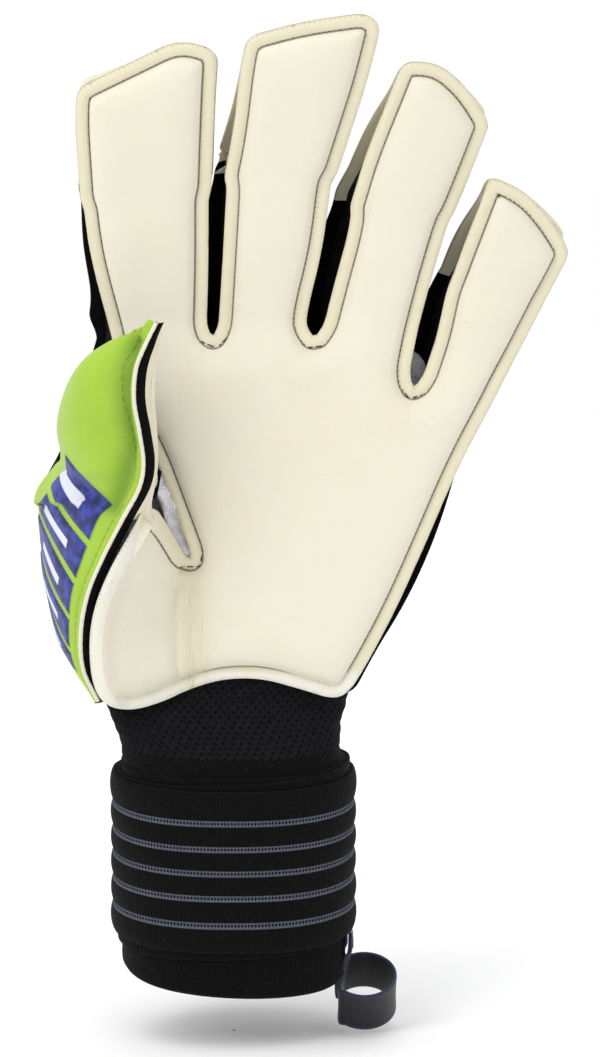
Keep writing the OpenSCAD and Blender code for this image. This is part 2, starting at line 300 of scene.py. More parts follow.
def zone_blend(obj, zone):
    """Parents a piece to its zone's body, except in the wrist, thumb, web, thumb-side and finger zones, where
    it is only baked in place.
    """
    if zone == "wrist":
        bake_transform(obj)
    elif zone == "thumb_k":
        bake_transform(obj)
    elif zone == "thumb_m":
        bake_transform(obj)
    elif zone == "web":
        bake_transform(obj)
    elif zone == "thumb_side":
        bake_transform(obj)
    elif zone.endswith("_k"):
        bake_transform(obj)
    elif zone.endswith("_m"):
        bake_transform(obj)
    else:
        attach(obj, zone)


def place(obj, zone, slot):
    """Hands a piece to zone_blend. slot is not used."""
    zone_blend(obj, zone)
    return obj


def make(name, points, faces, materials, face_material=None, values=None, normals=None):
    """A smooth-shaded mesh object in millimetres, with float values stored on its points."""
    mesh = bpy.data.meshes.new(name)
    mesh.from_pydata((points * MM).tolist(), [], [tuple(int(i) for i in f) for f in faces])
    for material in materials:
        mesh.materials.append(material)
    if face_material is not None:
        mesh.polygons.foreach_set("material_index", np.asarray(face_material, dtype=np.int32))
    for key, value in (values or {}).items():
        mesh.attributes.new(key, "FLOAT", "POINT").data.foreach_set("value", np.asarray(value, np.float32))
    mesh.shade_smooth()
    if normals is not None:
        mesh.normals_split_custom_set_from_vertices(normals.tolist())
    mesh.update()
    obj = bpy.data.objects.new(name, mesh)
    bpy.context.scene.collection.objects.link(obj)
    return obj


def split(name, points, faces, zones, materials, slot, face_material=None, values=None):
    """One object per zone, with shading that runs on across the cuts. Returns {zone: object}."""
    normals = vertex_normals(points, faces)
    face_material = np.zeros(len(faces), int) if face_material is None else np.asarray(face_material)
    pieces = {}
    for zone in sorted(set(zones)):
        chosen = np.flatnonzero(zones == zone)
        used = np.unique(np.concatenate([faces[i] for i in chosen]))
        where = np.full(len(points), -1)
        where[used] = np.arange(len(used))
        obj = make(f"{name}_{zone}", points[used], [where[list(faces[i])] for i in chosen], materials,
                   face_material[chosen], {k: v[used] for k, v in (values or {}).items()},
                   normals[used])
        pieces[zone] = place(obj, zone, slot)
    return pieces


def centres(values, faces):
    """The mean of the values at each face's corners."""
    return np.array([values[list(f)].mean(axis=0) for f in faces])


def strip_faces(rows, columns, closed=False, flip=False):
    """Quads of a grid of points stored row by row. closed joins the last column to the first."""
    faces = []
    for r in range(rows - 1):
        for c in range(columns if closed else columns - 1):
            n = (c + 1) % columns
            quad = (r * columns + c, r * columns + n, (r + 1) * columns + n, (r + 1) * columns + c)
            faces.append(quad[::-1] if flip else quad)
    return faces


# ---- Materials ----

class Shader:
    """A material with one principled shader, and short ways to add the nodes that drive it."""

    def __init__(self, name, roughness=0.8, sheen=0.0, specular=0.4):
        self.material = bpy.data.materials.new(name)
        self.material.use_nodes = True
        self.tree = self.material.node_tree
        self.shader = self.tree.nodes["Principled BSDF"]
        self.shader.inputs["Roughness"].default_value = roughness
        self.shader.inputs["Sheen Weight"].default_value = sheen
        self.shader.inputs["Sheen Roughness"].default_value = 0.5
        self.shader.inputs["Specular IOR Level"].default_value = specular
        self.place = self.tree.nodes.new("ShaderNodeTexCoord").outputs["Object"]

    def node(self, kind, **inputs):
        """A node with inputs given by name, or by number as i0, i1 and so on."""
        node = self.tree.nodes.new(kind)
        for key, value in inputs.items():
            self.feed(node.inputs[int(key[1:]) if key[0] == "i" and key[1:].isdigit() else key], value)
        return node

    def feed(self, socket, value):
        """Links another node's output to a socket, or sets the socket to a plain value."""
        if isinstance(value, bpy.types.NodeSocket):
            self.tree.links.new(value, socket)
        else:
            socket.default_value = value

    def math(self, operation, a, b=0.0, c=0.0, clamp=False):
        """Any math node."""
        node = self.node("ShaderNodeMath", i0=a, i1=b, i2=c)
        node.operation = operation
        node.use_clamp = clamp
        return node.outputs[0]

    def times(self, a, b, clamp=False):
        return self.math("MULTIPLY", a, b, clamp=clamp)

    def plus(self, a, b, clamp=False):
        return self.math("ADD", a, b, clamp=clamp)

    def minus(self, a, b, clamp=False):
        return self.math("SUBTRACT", a, b, clamp=clamp)

    def value(self, name):
        """A float stored on the mesh's points."""
        node = self.tree.nodes.new("ShaderNodeAttribute")
        node.attribute_name = name
        return node.outputs["Fac"]

    def noise(self, size, detail=3.0, stretch=(1, 1, 1)):
        """Noise with features of about that size in millimetres, between 0 and 1."""
        scaled = self.node("ShaderNodeVectorMath", i0=self.place, i1=stretch)
        scaled.operation = "MULTIPLY"
        node = self.node("ShaderNodeTexNoise", Vector=scaled.outputs[0], Scale=1 / (size * MM),
                         Detail=detail, Roughness=0.55)
        return node.outputs["Fac"]

    def cells(self, size):
        """Distance from the middles of scattered cells of about that size."""
        node = self.node("ShaderNodeTexVoronoi", Vector=self.place, Scale=1 / (size * MM))
        return node.outputs["Distance"]

    def axis(self, name):
        """Object x, y or z in millimetres."""
        node = self.node("ShaderNodeSeparateXYZ", i0=self.place)
        return self.math("MULTIPLY", node.outputs[name], 1 / MM)

    def band(self, value, centre, half, edge=0.15):
        """1 where value is within half of centre, 0 beyond it."""
        away = self.math("ABSOLUTE", self.math("SUBTRACT", value, centre))
        node = self.node("ShaderNodeMapRange", Value=away)
        for key, number in zip((1, 2, 3, 4), (half, half + edge, 1.0, 0.0)):
            node.inputs[key].default_value = number
        return node.outputs[0]

    def wave(self, value, pitch):
        """A sine of value with that pitch, between 0 and 1."""
        turn = self.math("SINE", self.math("MULTIPLY", value, 2 * math.pi / pitch))
        return self.math("MULTIPLY_ADD", turn, 0.5, 0.5)

    def mottle(self):
        """Uneven patches, 0 or 1 with soft edges."""
        return self.times(self.minus(self.noise(3.2, 5), 0.40, clamp=True), 4.0, clamp=True)

    def mix(self, factor, a, b):
        """Colour a where factor is 0, b where it is 1."""
        node = self.tree.nodes.new("ShaderNodeMix")
        node.data_type = "RGBA"
        self.feed(node.inputs["Factor"], factor)
        self.feed(node.inputs[6], a if isinstance(a, bpy.types.NodeSocket) else (*a, 1))
        self.feed(node.inputs[7], b if isinstance(b, bpy.types.NodeSocket) else (*b, 1))
        return node.outputs[2]

    def finish(self, colour, height, depth):
        """Sets the colour, and a bump height whose full range is depth in millimetres."""
        self.feed(self.shader.inputs["Base Color"], colour)
        node = self.node("ShaderNodeBump", Height=height, Distance=depth * MM)
        self.tree.links.new(node.outputs[0], self.shader.inputs["Normal"])
        return self.material


def linear(red, green, blue):
    """A colour given as 0-255 screen values."""
    return tuple(((c / 255 + 0.055) / 1.055) ** 2.4 if c > 10 else c / 255 / 12.92
                 for c in (red, green, blue))


LATEX = linear(227, 223, 209)
LATEX_WARM = linear(223, 217, 197)
CUT_EDGE = linear(220, 212, 180)
GROOVE = linear(70, 60, 42)
FOAM = linear(232, 229, 216)
BLACK = linear(8, 8, 9)
BLACK_WORN = linear(23, 22, 24)
LIME = linear(160, 194, 50)
LIME_DEEP = linear(138, 176, 38)
BLUE = linear(48, 68, 160)
BLUE_DEEP = linear(22, 28, 92)
PALE = linear(214, 216, 226)
GREY = linear(110, 117, 130)


def latex_material():
    """Cream latex: a grained skin, its cut edge, the stitch line, and wrinkled folds darkened with painted
    shade.
    """
    s = Shader("latex", roughness=0.72, specular=0.3)
    s.shader.inputs["Subsurface Weight"].default_value = 0.12
    s.shader.inputs["Subsurface Radius"].default_value = (0.004, 0.003, 0.002)
    s.shader.inputs["Subsurface Scale"].default_value = 0.5
    rim = s.value("rim")
    raw = s.value("raw")
    skin = s.mix(s.noise(26), LATEX, LATEX_WARM)
    skin = s.mix(s.times(s.noise(1.3, 2), 0.16), skin, CUT_EDGE)
    specks = s.math("GREATER_THAN", s.noise(0.9, 1), 0.80)
    skin = s.mix(s.times(specks, 0.35), skin, GROOVE)
    edge = s.mix(s.noise(3.0), CUT_EDGE, LATEX_WARM)
    edge = s.mix(raw, edge, FOAM)
    on_edge = s.math("LESS_THAN", rim, SEAM)
    colour = s.mix(on_edge, skin, edge)
    # painted shade: the wrinkles and creases turn a deeper yellow where the fold value is high; the same mask
    # raises the wrinkle bump
    wrinkle_shade_and_bump = s.times(s.noise(1.5, 4, (1, 1, 0.10)), s.value("fold"))
    colour = s.mix(s.times(wrinkle_shade_and_bump, 0.75), colour, linear(206, 196, 154))
    line = s.times(s.band(rim, SEAM, 0.07, 0.30), s.minus(1.0, raw))
    colour = s.mix(s.times(line, 0.78), colour, GROOVE)
    pores = s.times(s.noise(0.45, 2), 0.6)
    grain = s.times(s.noise(1.6, 3), 0.5)
    fuzz = s.times(s.times(s.noise(0.9, 4), 4.0), raw)
    fold = s.times(wrinkle_shade_and_bump, 15.0)
    height = s.plus(s.plus(pores, grain), s.plus(fuzz, fold))
    return s.finish(colour, height, 0.09)


def knit_material(name="black_knit", pitch=1.15, worn=0.55):
    """A black mesh knit with small cells, and paler scuffs."""
    s = Shader(name, roughness=0.9, sheen=0.018, specular=0.068)
    cells = s.cells(pitch)
    scuffs = s.times(s.minus(s.noise(3.2, 5, (1, 1, 0.4)), worn, clamp=True), 2.4)
    colour = s.mix(scuffs, BLACK, BLACK_WORN)
    colour = s.mix(s.times(s.minus(0.5, cells), 0.35, clamp=True), colour, linear(4, 4, 5))
    height = s.plus(cells, s.times(s.noise(0.5, 2), 0.4))
    return s.finish(colour, height, 0.35)


def air_mesh_material():
    """Black spacer mesh with staggered rows of small holes."""
    s = Shader("air_mesh", roughness=0.88, sheen=0.013, specular=0.068)
    across, up = s.value("around"), s.value("up")
    slant_a = s.wave(s.plus(across, up), 2.6)
    slant_b = s.wave(s.minus(across, up), 2.6)
    holes = s.times(slant_a, slant_b)
    in_hole = s.times(s.minus(holes, 0.52, clamp=True), 4.0, clamp=True)
    colour = s.mix(in_hole, s.mix(s.noise(2), BLACK, linear(30, 30, 34)), linear(2, 2, 3))
    height = s.minus(s.times(s.noise(0.5, 2), 0.3), in_hole)
    return s.finish(colour, height, 0.7)


def elastic_material(name, rib, course):
    """Woven elastic, upright ribs crossed by fine courses, before its last touches."""
    s = Shader(name, roughness=0.86, sheen=0.023, specular=0.081)
    ribs = s.wave(s.value("around"), rib)
    courses = s.wave(s.plus(s.value("up"), s.times(ribs, 0.35)), course)
    weave = s.plus(s.times(ribs, 0.6), s.times(courses, 0.5))
    lint = s.times(s.minus(s.noise(1.1, 5), 0.62, clamp=True), 1.4)
    colour = s.mix(s.times(weave, 0.7), linear(4, 4, 5), linear(17, 17, 19))
    colour = s.mix(lint, colour, linear(70, 70, 74))
    return s, colour, s.plus(weave, s.times(s.noise(0.6, 3), 0.5))


def band_material():
    """The strap's elastic with its woven grey double stripes."""
    s, colour, height = elastic_material("strap_elastic", 0.95, 0.8)
    stripe = s.value("stripe")
    lines = s.band(stripe, 0.62, 0.20, 0.12)
    tick = s.math("GREATER_THAN", s.wave(s.value("around"), 0.95), 0.55)
    ticks = s.times(tick, s.band(stripe, 0.0, 0.55, 0.2))
    broken = s.math("GREATER_THAN", s.wave(s.value("around"), 0.48), 0.18)
    mask = s.plus(s.times(lines, broken), s.times(ticks, 0.6), clamp=True)
    colour = s.mix(mask, colour, s.mix(s.noise(1.5), GREY, linear(88, 94, 108)))
    return s.finish(colour, s.plus(height, s.times(mask, 0.5)), 0.32)


def plain_elastic_material():
    """The bandage's elastic, without stripes."""
    s, colour, height = elastic_material("bandage_elastic", 1.25, 0.9)
    return s.finish(colour, height, 0.34)


def lime_material():
    """The thumb side's green padding, with painted shade in its pressed channel, and blue panels and plain
    pale bars set into it.
    """
    s = Shader("green_padding", roughness=0.55, sheen=0.15, specular=0.35)
    q, u = s.value("panel_q"), s.value("panel_u")
    green = s.mix(s.noise(14), LIME, LIME_DEEP)
    green = s.mix(s.times(s.noise(0.8, 3), 0.22), green, linear(196, 226, 96))
    # painted shade: the pressed channel round the thumb's lobe is darkened towards a deep green
    green = s.mix(s.times(s.value("press_and_shade"), 0.65), green, linear(84, 128, 22))
    across = s.band(u, PANEL_MIDDLE, PANEL_HALF, 0.012)
    bar_across = s.band(u, PANEL_MIDDLE, PANEL_HALF * 0.5, 0.012)
    panels, bars = 0.0, 0.0
    for low, high in PANELS:
        middle, half = (low + high) / 2, (high - low) / 2
        panels = s.plus(panels, s.band(q, middle, half, 0.25))
        bars = s.plus(bars, s.band(q, middle, half * 0.24, 0.2))
    panels = s.times(s.times(panels, across), s.value("shown"))
    bars = s.times(bars, bar_across)
    blue = s.mix(s.mottle(), BLUE_DEEP, BLUE)
    colour = s.mix(bars, s.mix(panels, green, blue), PALE)
    height = s.plus(s.times(s.noise(0.55, 3), 0.5), s.times(panels, 1.6))
    height = s.plus(height, s.times(bars, 1.2))
    thread = s.math("GREATER_THAN", s.wave(s.value("along"), 3.0), 0.30)
    stitches = s.times(s.band(s.value("seam"), 2.6, 0.16, 0.2), thread)
    colour = s.mix(s.times(stitches, 0.15), colour, linear(104, 140, 20))
    return s.finish(colour, s.minus(height, stitches), 0.22)


def ribbon_material():
    """Black satin ribbon with a dark blue edge."""
    s = Shader("satin_ribbon", roughness=0.45, sheen=0.06, specular=0.35)
    across, along = s.value("across"), s.value("along")
    ribs = s.wave(along, 0.55)
    edge = s.band(across, 0.0, 0.78, 0.1)
    colour = s.mix(edge, linear(30, 34, 66), s.mix(s.noise(3), linear(9, 10, 14), linear(19, 20, 28)))
    colour = s.mix(s.times(ribs, 0.2), colour, linear(36, 38, 50))
    return s.finish(colour, s.plus(ribs, s.times(s.noise(1.2, 3), 0.8)), 0.10)


def pile_material(name, colour_a, colour_b, size):
    """Hook or loop tape: dense little points."""
    s = Shader(name, roughness=0.9, sheen=0.4, specular=0.2)
    cells = s.cells(size)
    colour = s.mix(cells, colour_a, colour_b)
    return s.finish(s.mix(s.times(s.noise(4), 0.4), colour, colour_a),
                    s.minus(1.0, cells), 0.5)


def cloth_material(name, colour_a, colour_b, thread=0.5, roughness=0.85, sheen=0.2):
    """A plain woven cloth of two near colours."""
    s = Shader(name, roughness=roughness, sheen=sheen, specular=0.3)
    weave = s.times(s.wave(s.axis("X"), thread), s.wave(s.axis("Z"), thread))
    colour = s.mix(s.noise(9), colour_a, colour_b)
    colour = s.mix(s.times(weave, 0.25), colour, colour_b)
    return s.finish(colour, s.plus(weave, s.times(s.noise(0.7, 3), 0.8)), 0.14)


def moulded_material(name, colour_a, colour_b):
    """Soft moulded rubber print, mottled."""
    s = Shader(name, roughness=0.5, sheen=0.0, specular=0.45)
    return s.finish(s.mix(s.mottle(), colour_b, colour_a), s.noise(0.6, 3), 0.12)


PANELS = [(84.0, 89.3), (91.2, 99.0), (101.0, 109.6), (111.6, 120.6), (122.6, 132.6)]
PANEL_MIDDLE, PANEL_HALF = 0.44, 0.40     # across the side panel, from 0 at its back seam to 1

LATEX_SKIN = latex_material()
KNIT = knit_material()
AIR_MESH = air_mesh_material()
STRAP = band_material()
BANDAGE = plain_elastic_material()
GREEN = lime_material()
RIBBON = ribbon_material()
HOOK = pile_material("hook_tape", linear(14, 14, 16), linear(44, 44, 48), 1.3)
LOOP = pile_material("loop_tape", linear(34, 36, 40), linear(84, 88, 96), 0.9)
BACK_CLOTH = knit_material("back_cloth", 1.6, 0.62)
LINING = cloth_material("lining", linear(240, 239, 243), linear(214, 212, 220), 0.9)
BLUE_PRINT = moulded_material("blue_print", BLUE, BLUE_DEEP)
PALE_PRINT = moulded_material("pale_print", PALE, linear(190, 193, 206))
GREEN_CLOTH = cloth_material("green_cloth", LIME, LIME_DEEP, 0.6, 0.6)
THREAD = cloth_material("thread", linear(84, 72, 50), linear(58, 48, 34), 0.4, 0.7)


# ---- Palm, finger fronts and backhand ----

CREASE_Z = [72, 100, 112, 117, 139]               # the crease beside the ball of the thumb,
CREASE_X = [-15, -17.5, -16.2, -12.4, -19.9]      # which runs on up the middle of the slit
LEFT_Z = [72, 81, 95, 107, 118, 129, 139]         # the palm panel's thumb-side edge
LEFT_X = [-38, -40.6, -41.2, -38.8, -33.8, -27.6, -24.6]
RISE_Z = [72, 76, 86, 98, 109, 120, 132, 139]     # how far that edge stands forward of the palm
RISE = [3.5, 5.0, 9.5, 15.0, 20.5, 25.5, 30.0, 32.0]
FINGER_SHAPE = {      # centre x and half width at the knuckle, then at the tip
    "index": (-21.0, 13.8, -23.9, 19.5),
    "middle": (9.3, 12.0, 23.5, 18.3),
    "ring": (40.9, 13.0, 60.9, 12.0),
    "little": (70.8, 10.8, 85.3, 11.5),
}
FLARE = {             # how far the back of a stall stands out on the thumb side, as (height, distance)
    "index": [(176, 5.0), (187, 4.6), (205, 3.2), (222, 1.6), (236, 0)],
    "middle": [(176, 3.8), (187, 4.2), (203, 4.8), (219, 5.4), (230, 2.8), (245, 0.8), (254, 0)],
    "ring": [(176, 5.6), (187, 6.2), (202, 6.8), (211, 6.6), (227, 2.2), (240, 0.7), (252, 0)],
    "little": [(164, 4.0), (174, 5.0), (188, 5.4), (198, 1.8), (214, 0.9), (224, 0)],
}


def latex_values(rim, raw=0.0, fold=0.0):
    """What the latex material reads: the way in from the cut edge, how raw it is, and how folded, which sets
    both the wrinkle bump and the painted shade in the creases.
    """
    return {"rim": rim, "raw": raw + 0 * rim, "fold": fold + 0 * rim}


def round_edge(d, reach):
    """Rises like a quarter circle from 0 at d = 0 to 1 at d = reach."""
    return np.sqrt(np.clip(1 - (1 - np.clip(d / reach, 0, 1)) ** 2, 0, 1))


def thenar_rise(x, z):
    """How far the ball of the thumb stands forward of the palm."""
    crease = np.interp(z, CREASE_Z, CREASE_X)
    left = np.interp(z, LEFT_Z, LEFT_X)
    t = np.clip((crease - x) / (crease - left), 0, 1.06)
    return np.where(z < 139, np.interp(z, RISE_Z, RISE) * t ** 0.88, 0.0)


def raw_side(x, z):
    """1 at the palm panel's thumb side, whose foam edge is left raw instead of sewn, 0 elsewhere."""
    left = np.interp(z, LEFT_Z, LEFT_X)
    return smooth((left + 9 - x) / 4) * smooth((135 - z) / 12)


def finger_mask(x, z):
    """0 on the hand, rising to 1 on the fingers."""
    return smooth((z - finger_height(KNUCKLE, x, z) + 16) / 20)


def front_depth(x, z):
    """How far forward of the hand's middle plane the palm side's cut edge lies."""
    return 12.3 - 2.3 * finger_mask(x, z) + thenar_rise(x, z)


def back_depth(x, z):
    """How far behind the hand's middle plane the back's cut edge lies."""
    return 12.0 - 2.6 * finger_mask(x, z) - 2.6 * near_tip(x, z, 24)


def back_flare(x, z):
    """The back of a stall is wider than its front on the thumb side: how far a point moves that way."""
    which = finger_of(x, z)
    out = np.zeros(len(x))
    for i, (name, (knuckle, _, _)) in enumerate(FINGERS.items()):
        centre0, half0, centre1, half1 = FINGER_SHAPE[name]
        t = (z - knuckle) / 70
        u = (x - centre0 - (centre1 - centre0) * t) / (half0 + (half1 - half0) * t)
        heights, distances = zip(*FLARE[name])
        amount = np.interp(z, heights, distances) * smooth((z - knuckle + 8) / 8)
        out = np.where(which == i, amount * np.clip(0.5 - 0.5 * u, 0, 1), out)
    return out


def near_tip(x, z, reach):
    """0 on a finger, rising to 1 at its tip."""
    return smooth((z - finger_height(TIP, x, z) + reach) / reach)


def back_lift(x, z):
    """The back layer stops short at each fingertip, as the front one leans over it."""
    return -4.2 * near_tip(x, z, 26)


def front_height(x, z, d):
    """How far forward of the cut edge's plane the palm side stands, d being the way in from the edge."""
    lip = round_edge(d, 1.2)
    pad = 3.2 * round_edge(d - SEAM, 8.0)
    groove = 0.75 * bump((d - SEAM) / 0.55)
    crease = np.abs(x - np.interp(z, CREASE_Z, CREASE_X))
    fold = bump(crease) * (1 - smooth((z - 108) / 8)) * (d > SEAM)
    fold = fold + 0.5 * bump((x - np.interp(z, CREASE_Z, CREASE_X) - 4) / 3) * (1 - smooth((z - 106) / 10))
    inner = smooth((d - 6) / 8)
    waves = inner * (0.30 * ripple(x, z, 34, 1.0) + 0.10 * ripple(x, z, 11, 4.0))
    puckers = 0.16 * bump((d - SEAM - 2.2) / 1.6) * ripple(x, z, 4.5, 2.0)
    raw = raw_side(x, z)
    edge = (1 - raw) * (lip + pad - groove) + raw * 4.2 * round_edge(d, 6.0)
    return edge - fold + waves + puckers * (1 - raw)


def back_height(x, z, d):
    """As front_height, for the padded back: each finger is quilted into short pads."""
    lip = round_edge(d, 1.2)
    pad = 3.6 * round_edge(d - SEAM, 5.0)
    which = finger_of(x, z)
    channel = np.zeros(len(x))
    for i, (knuckle, _, tip) in enumerate(FINGERS.values()):
        pitch = (tip - 6 - knuckle) / 4
        for row in range(4):
            line = knuckle + pitch * row + 0.05 * (x - 20)
            channel = np.where(which == i, np.maximum(channel, bump((z - line) / 1.5)), channel)
    pad = pad * (1 - 0.75 * channel)
    return lip + pad - 0.7 * bump((d - SEAM) / 0.6) + 0.25 * smooth((d - 6) / 6) * ripple(x, z, 24, 5.0)


def scatter(outline, spacing, dense=()):
    """Points that fill an outline on a triangular grid. dense holds boxes with their own spacing."""
    points = []
    for low_x, low_z, high_x, high_z, gap in [(-60, 66, 102, 280, spacing), *dense]:
        for row, z in enumerate(np.arange(low_z, high_z, gap * 0.87)):
            xs = np.arange(low_x + (row % 2) * gap / 2, high_x, gap)
            points.append(np.stack([xs, np.full(len(xs), z)], axis=1))
    points = np.vstack(points)
    return points[inside(points, outline)]


def skin(outline, depths, spacing=2.4, dense=()):
    """Triangles over an outline, with rings of points at those depths in from its edge."""
    insets = [inset(outline, depth) for depth in depths]
    rings = [resample(ring, 1.5) for ring in insets if len(ring) > 8]
    fill = scatter(outline, spacing, dense)
    fill = fill[to_outline(fill, outline) > depths[-1] + 0.8]
    points = np.vstack([outline, *rings, fill])
    count = len(outline)
    edges = [(i, (i + 1) % count) for i in range(count)]
    found, _, faces, *_ = geometry.delaunay_2d_cdt([Vector(p) for p in points.tolist()], edges, [], 1, 1e-4)
    return np.array([tuple(p) for p in found]), [tuple(f) for f in faces]


CUT_RIM = 0.05         # what counts as the way in from the edge on the cut edge itself
NO_EDGE = 9.0          # the same for latex without an edge, well past any seam
RING_DEPTHS = (0.35, 0.9, 1.8, 2.9, 3.4, 3.8, 4.2, 5.0, 6.3, 8.2)
FRONT_RIM = ((0.0, 0.7), (0.15, 1.6), (0.6, 2.2), (4.6, 2.4))   # way in from the edge, and way back


def panel(outline, sign, depth, height, dense=(), rim=FRONT_RIM, ring_depths=RING_DEPTHS, spacing=2.4):
    """A padded panel with a thick cut edge: flat x and z, points, faces and distance from the edge."""
    flat, faces = skin(outline, ring_depths, spacing, dense)
    d = to_outline(flat, outline)
    forward = depth(flat[:, 0], flat[:, 1]) + height(flat[:, 0], flat[:, 1], d)
    points = np.stack([flat[:, 0], sign * forward, flat[:, 1]], axis=1)
    if sign > 0:
        faces = [f[::-1] for f in faces]
    count = len(outline)
    edge_depth = depth(outline[:, 0], outline[:, 1])
    normals = edge_normals(outline)
    rows = []
    for way_in, way_back in rim:
        moved = outline + normals * way_in
        rows.append(np.stack([moved[:, 0], sign * (edge_depth - way_back), moved[:, 1]], axis=1))
    first = len(points)
    order = [to_index(flat, outline)] + [np.arange(count) + first + count * r for r in range(len(rim))]
    for a, b in zip(order, order[1:]):
        for i in range(count):
            j = (i + 1) % count
            quad = (int(a[i]), int(b[i]), int(b[j]), int(a[j]))
            faces.append(quad if sign < 0 else quad[::-1])
    flat = np.vstack([flat] + [outline] * len(rim))
    on_rim = np.full(count * len(rim), CUT_RIM)
    return flat, np.vstack([points, *rows]), faces, np.concatenate([d, on_rim])


def to_index(points, wanted):
    """For each wanted point, the index of the nearest of points."""
    out = np.empty(len(wanted), int)
    for i, w in enumerate(wanted):
        out[i] = ((points - w) ** 2).sum(axis=1).argmin()
    return out


def palm_zones(flat, points):
    """Finger zones, and the thumb's zones left of the slit."""
    zones = finger_zones(flat[:, 0], flat[:, 1])
    x, z = flat[:, 0], flat[:, 1]
    thumb = (z > 112) & (z < 139) & (x < np.interp(z, CREASE_Z, CREASE_X) + 0.2)
    by_thumb = thumb_zones(points)
    zones[thumb] = by_thumb[thumb]
    return zones


CROTCH_FOLDS = [       # creases below the gaps between the fingers, wrinkled and darkened with painted shade: strength, x and width, z and height
    (0.22, -12, 7, 168, 9), (0.18, 20, 9, 170, 9), (0.18, 50, 8, 158, 8),
]


def build_front():
    """The latex of the palm and of the fingers' fronts."""
    dense = [(-25, 74, -5, 121, 1.0)]
    flat, points, faces, rim = panel(FRONT, -1, front_depth, front_height, dense)
    x, z = flat[:, 0], flat[:, 1]
    raw = np.maximum(smooth((84.5 - z) / 2), raw_side(x, z))
    # fold: wrinkles beside the crease by the ball of the thumb and creases below the finger gaps, which the
    # latex darkens with painted shade and bumps
    fold = bump((x + 11.5) / 4.5) * smooth((118 - z) / 10) * (x > -17.5)
    for strength, at_x, wide, at_z, high in CROTCH_FOLDS:
        fold += strength * bump((x - at_x) / wide) * bump((z - at_z) / high)
    points = bend_fingers(points, flat)
    zones = palm_zones(centres(flat, faces), centres(points, faces))
    return split("palm_skin", points, faces, zones, [LATEX_SKIN], "latex",
                 values=latex_values(rim, raw, fold))


def build_back():
    """The padded back of the hand and fingers, edged with latex at the fingertips."""
    flat, points, faces, rim = panel(BACK, 1, back_depth, back_height)
    x, z = flat[:, 0], flat[:, 1]
    points[:, 0] -= back_flare(x, z)
    points[:, 2] += back_lift(x, z)
    points = bend_fingers(points, flat)
    middle = centres(flat, faces)
    zones = finger_zones(middle[:, 0], middle[:, 1])
    above = middle[:, 1] - finger_height(MIDDLE, middle[:, 0], middle[:, 1])
    cream = (centres(rim, faces) < SEAM) & (above > 1)
    return split("backhand_skin", points, faces, zones, [BACK_CLOTH, LATEX_SKIN], "black_back",
                 cream.astype(int), latex_values(rim))


INDEX_SPREAD = ([146, 155, 163, 172, 179, 183, 187, 190], [27, 19.5, 12, 8.6, 6.9, 3, 0.3, 0])
LITTLE_SPREAD = ([75, 85, 101, 122, 147, 160], [3.6, 3.2, 4.4, 4.3, 1.4, 0])      # heights, distances


def side_spread(x, z):
    """How much further out the back panel's edge is than the front's, on the two sides of the hand."""
    by_index = np.interp(z, *INDEX_SPREAD)
    by_little = np.interp(z, *LITTLE_SPREAD) * (x > 28)
    return np.where(x < -10, by_index, -by_little)


def build_walls():
    """The side walls of the fingers and of the little-finger side, from the front seam to the back seam."""
    path = resample(inset(FRONT, SEAM - 0.3), 1.6)
    start = ((path - np.array([-21.0, 146])) ** 2).sum(axis=1).argmin()
    path = np.roll(path, -start, axis=0)
    stop = ((path - np.array([31.0, 80])) ** 2).sum(axis=1).argmin()
    path = path[:stop + 1]
    x, z = path[:, 0], path[:, 1]
    ahead = unit(np.gradient(path, axis=0))
    away = np.stack([-ahead[:, 1], ahead[:, 0]], axis=1)
    columns = 15
    rows = []
    front_y = -(front_depth(x, z) - 1.2)
    back_y = back_depth(x, z) - 1.2
    shift, lift = back_flare(x, z) + side_spread(x, z), back_lift(x, z)
    for v in np.linspace(0, 1, columns):
        swell = 0.9 * math.sin(math.pi * v) + 0.5 * math.sin(math.pi * v) * ripple(x + 9 * v, z, 9, 3.0)
        y = front_y + (back_y - front_y) * v
        rows.append(np.stack([x - shift * v + away[:, 0] * swell, y,
                              z + lift * v + away[:, 1] * swell], axis=1))
    points = np.stack(rows, axis=1).reshape(-1, 3)
    flat = np.repeat(path, columns, axis=0)
    points = bend_fingers(points, flat)
    faces = strip_faces(len(path), columns, flip=True)
    middle = centres(flat, faces)
    zones = finger_zones(middle[:, 0], middle[:, 1])
    above = middle[:, 1] - finger_height(MIDDLE, middle[:, 0], middle[:, 1])
    part = np.tile((np.arange(columns - 1) + 0.5) / (columns - 1), len(path) - 1)
    cream = (above > 0) & (part < 0.34 + 0.40 * smooth(above / 20))
    return split("side_gusset", points, faces, zones, [KNIT, LATEX_SKIN], "black_knit",
                 cream.astype(int), latex_values(np.full(len(points), NO_EDGE)))


def dashes(paths, length=2.1, pitch=2.7, radius=0.21, sides=5, step_size=0.3):
    """Short threads that lie along polylines, as points and faces."""
    points, faces = [], []
    for path in paths:
        path = resample(path, step_size, closed=False)
        for k in range(int(len(path) * step_size / pitch)):
            ids = np.linspace(k * pitch / step_size, (k * pitch + length) / step_size, 5).astype(int)
            if ids[-1] >= len(path):
                break
            line = path[ids]
            step = line[-1] - line[0]
            step = step / (np.linalg.norm(step) + 1e-9)
            side = np.cross(step, [0, 1, 0])
            side /= np.linalg.norm(side) + 1e-9
            up = np.cross(side, step)
            first = len(points)
            for j, centre in enumerate(line):
                size = radius * (0.35 if j in (0, 4) else 1.0)
                for a in np.linspace(0, 2 * math.pi, sides, endpoint=False):
                    points.append(centre + size * (side * math.cos(a) + up * math.sin(a)))
            for j in range(4):
                for a in range(sides):
                    b = (a + 1) % sides
                    faces.append((first + j * sides + a, first + j * sides + b,
                                  first + (j + 1) * sides + b, first + (j + 1) * sides + a))
            faces.append(tuple(first + a for a in range(4)))
    return np.array(points), faces


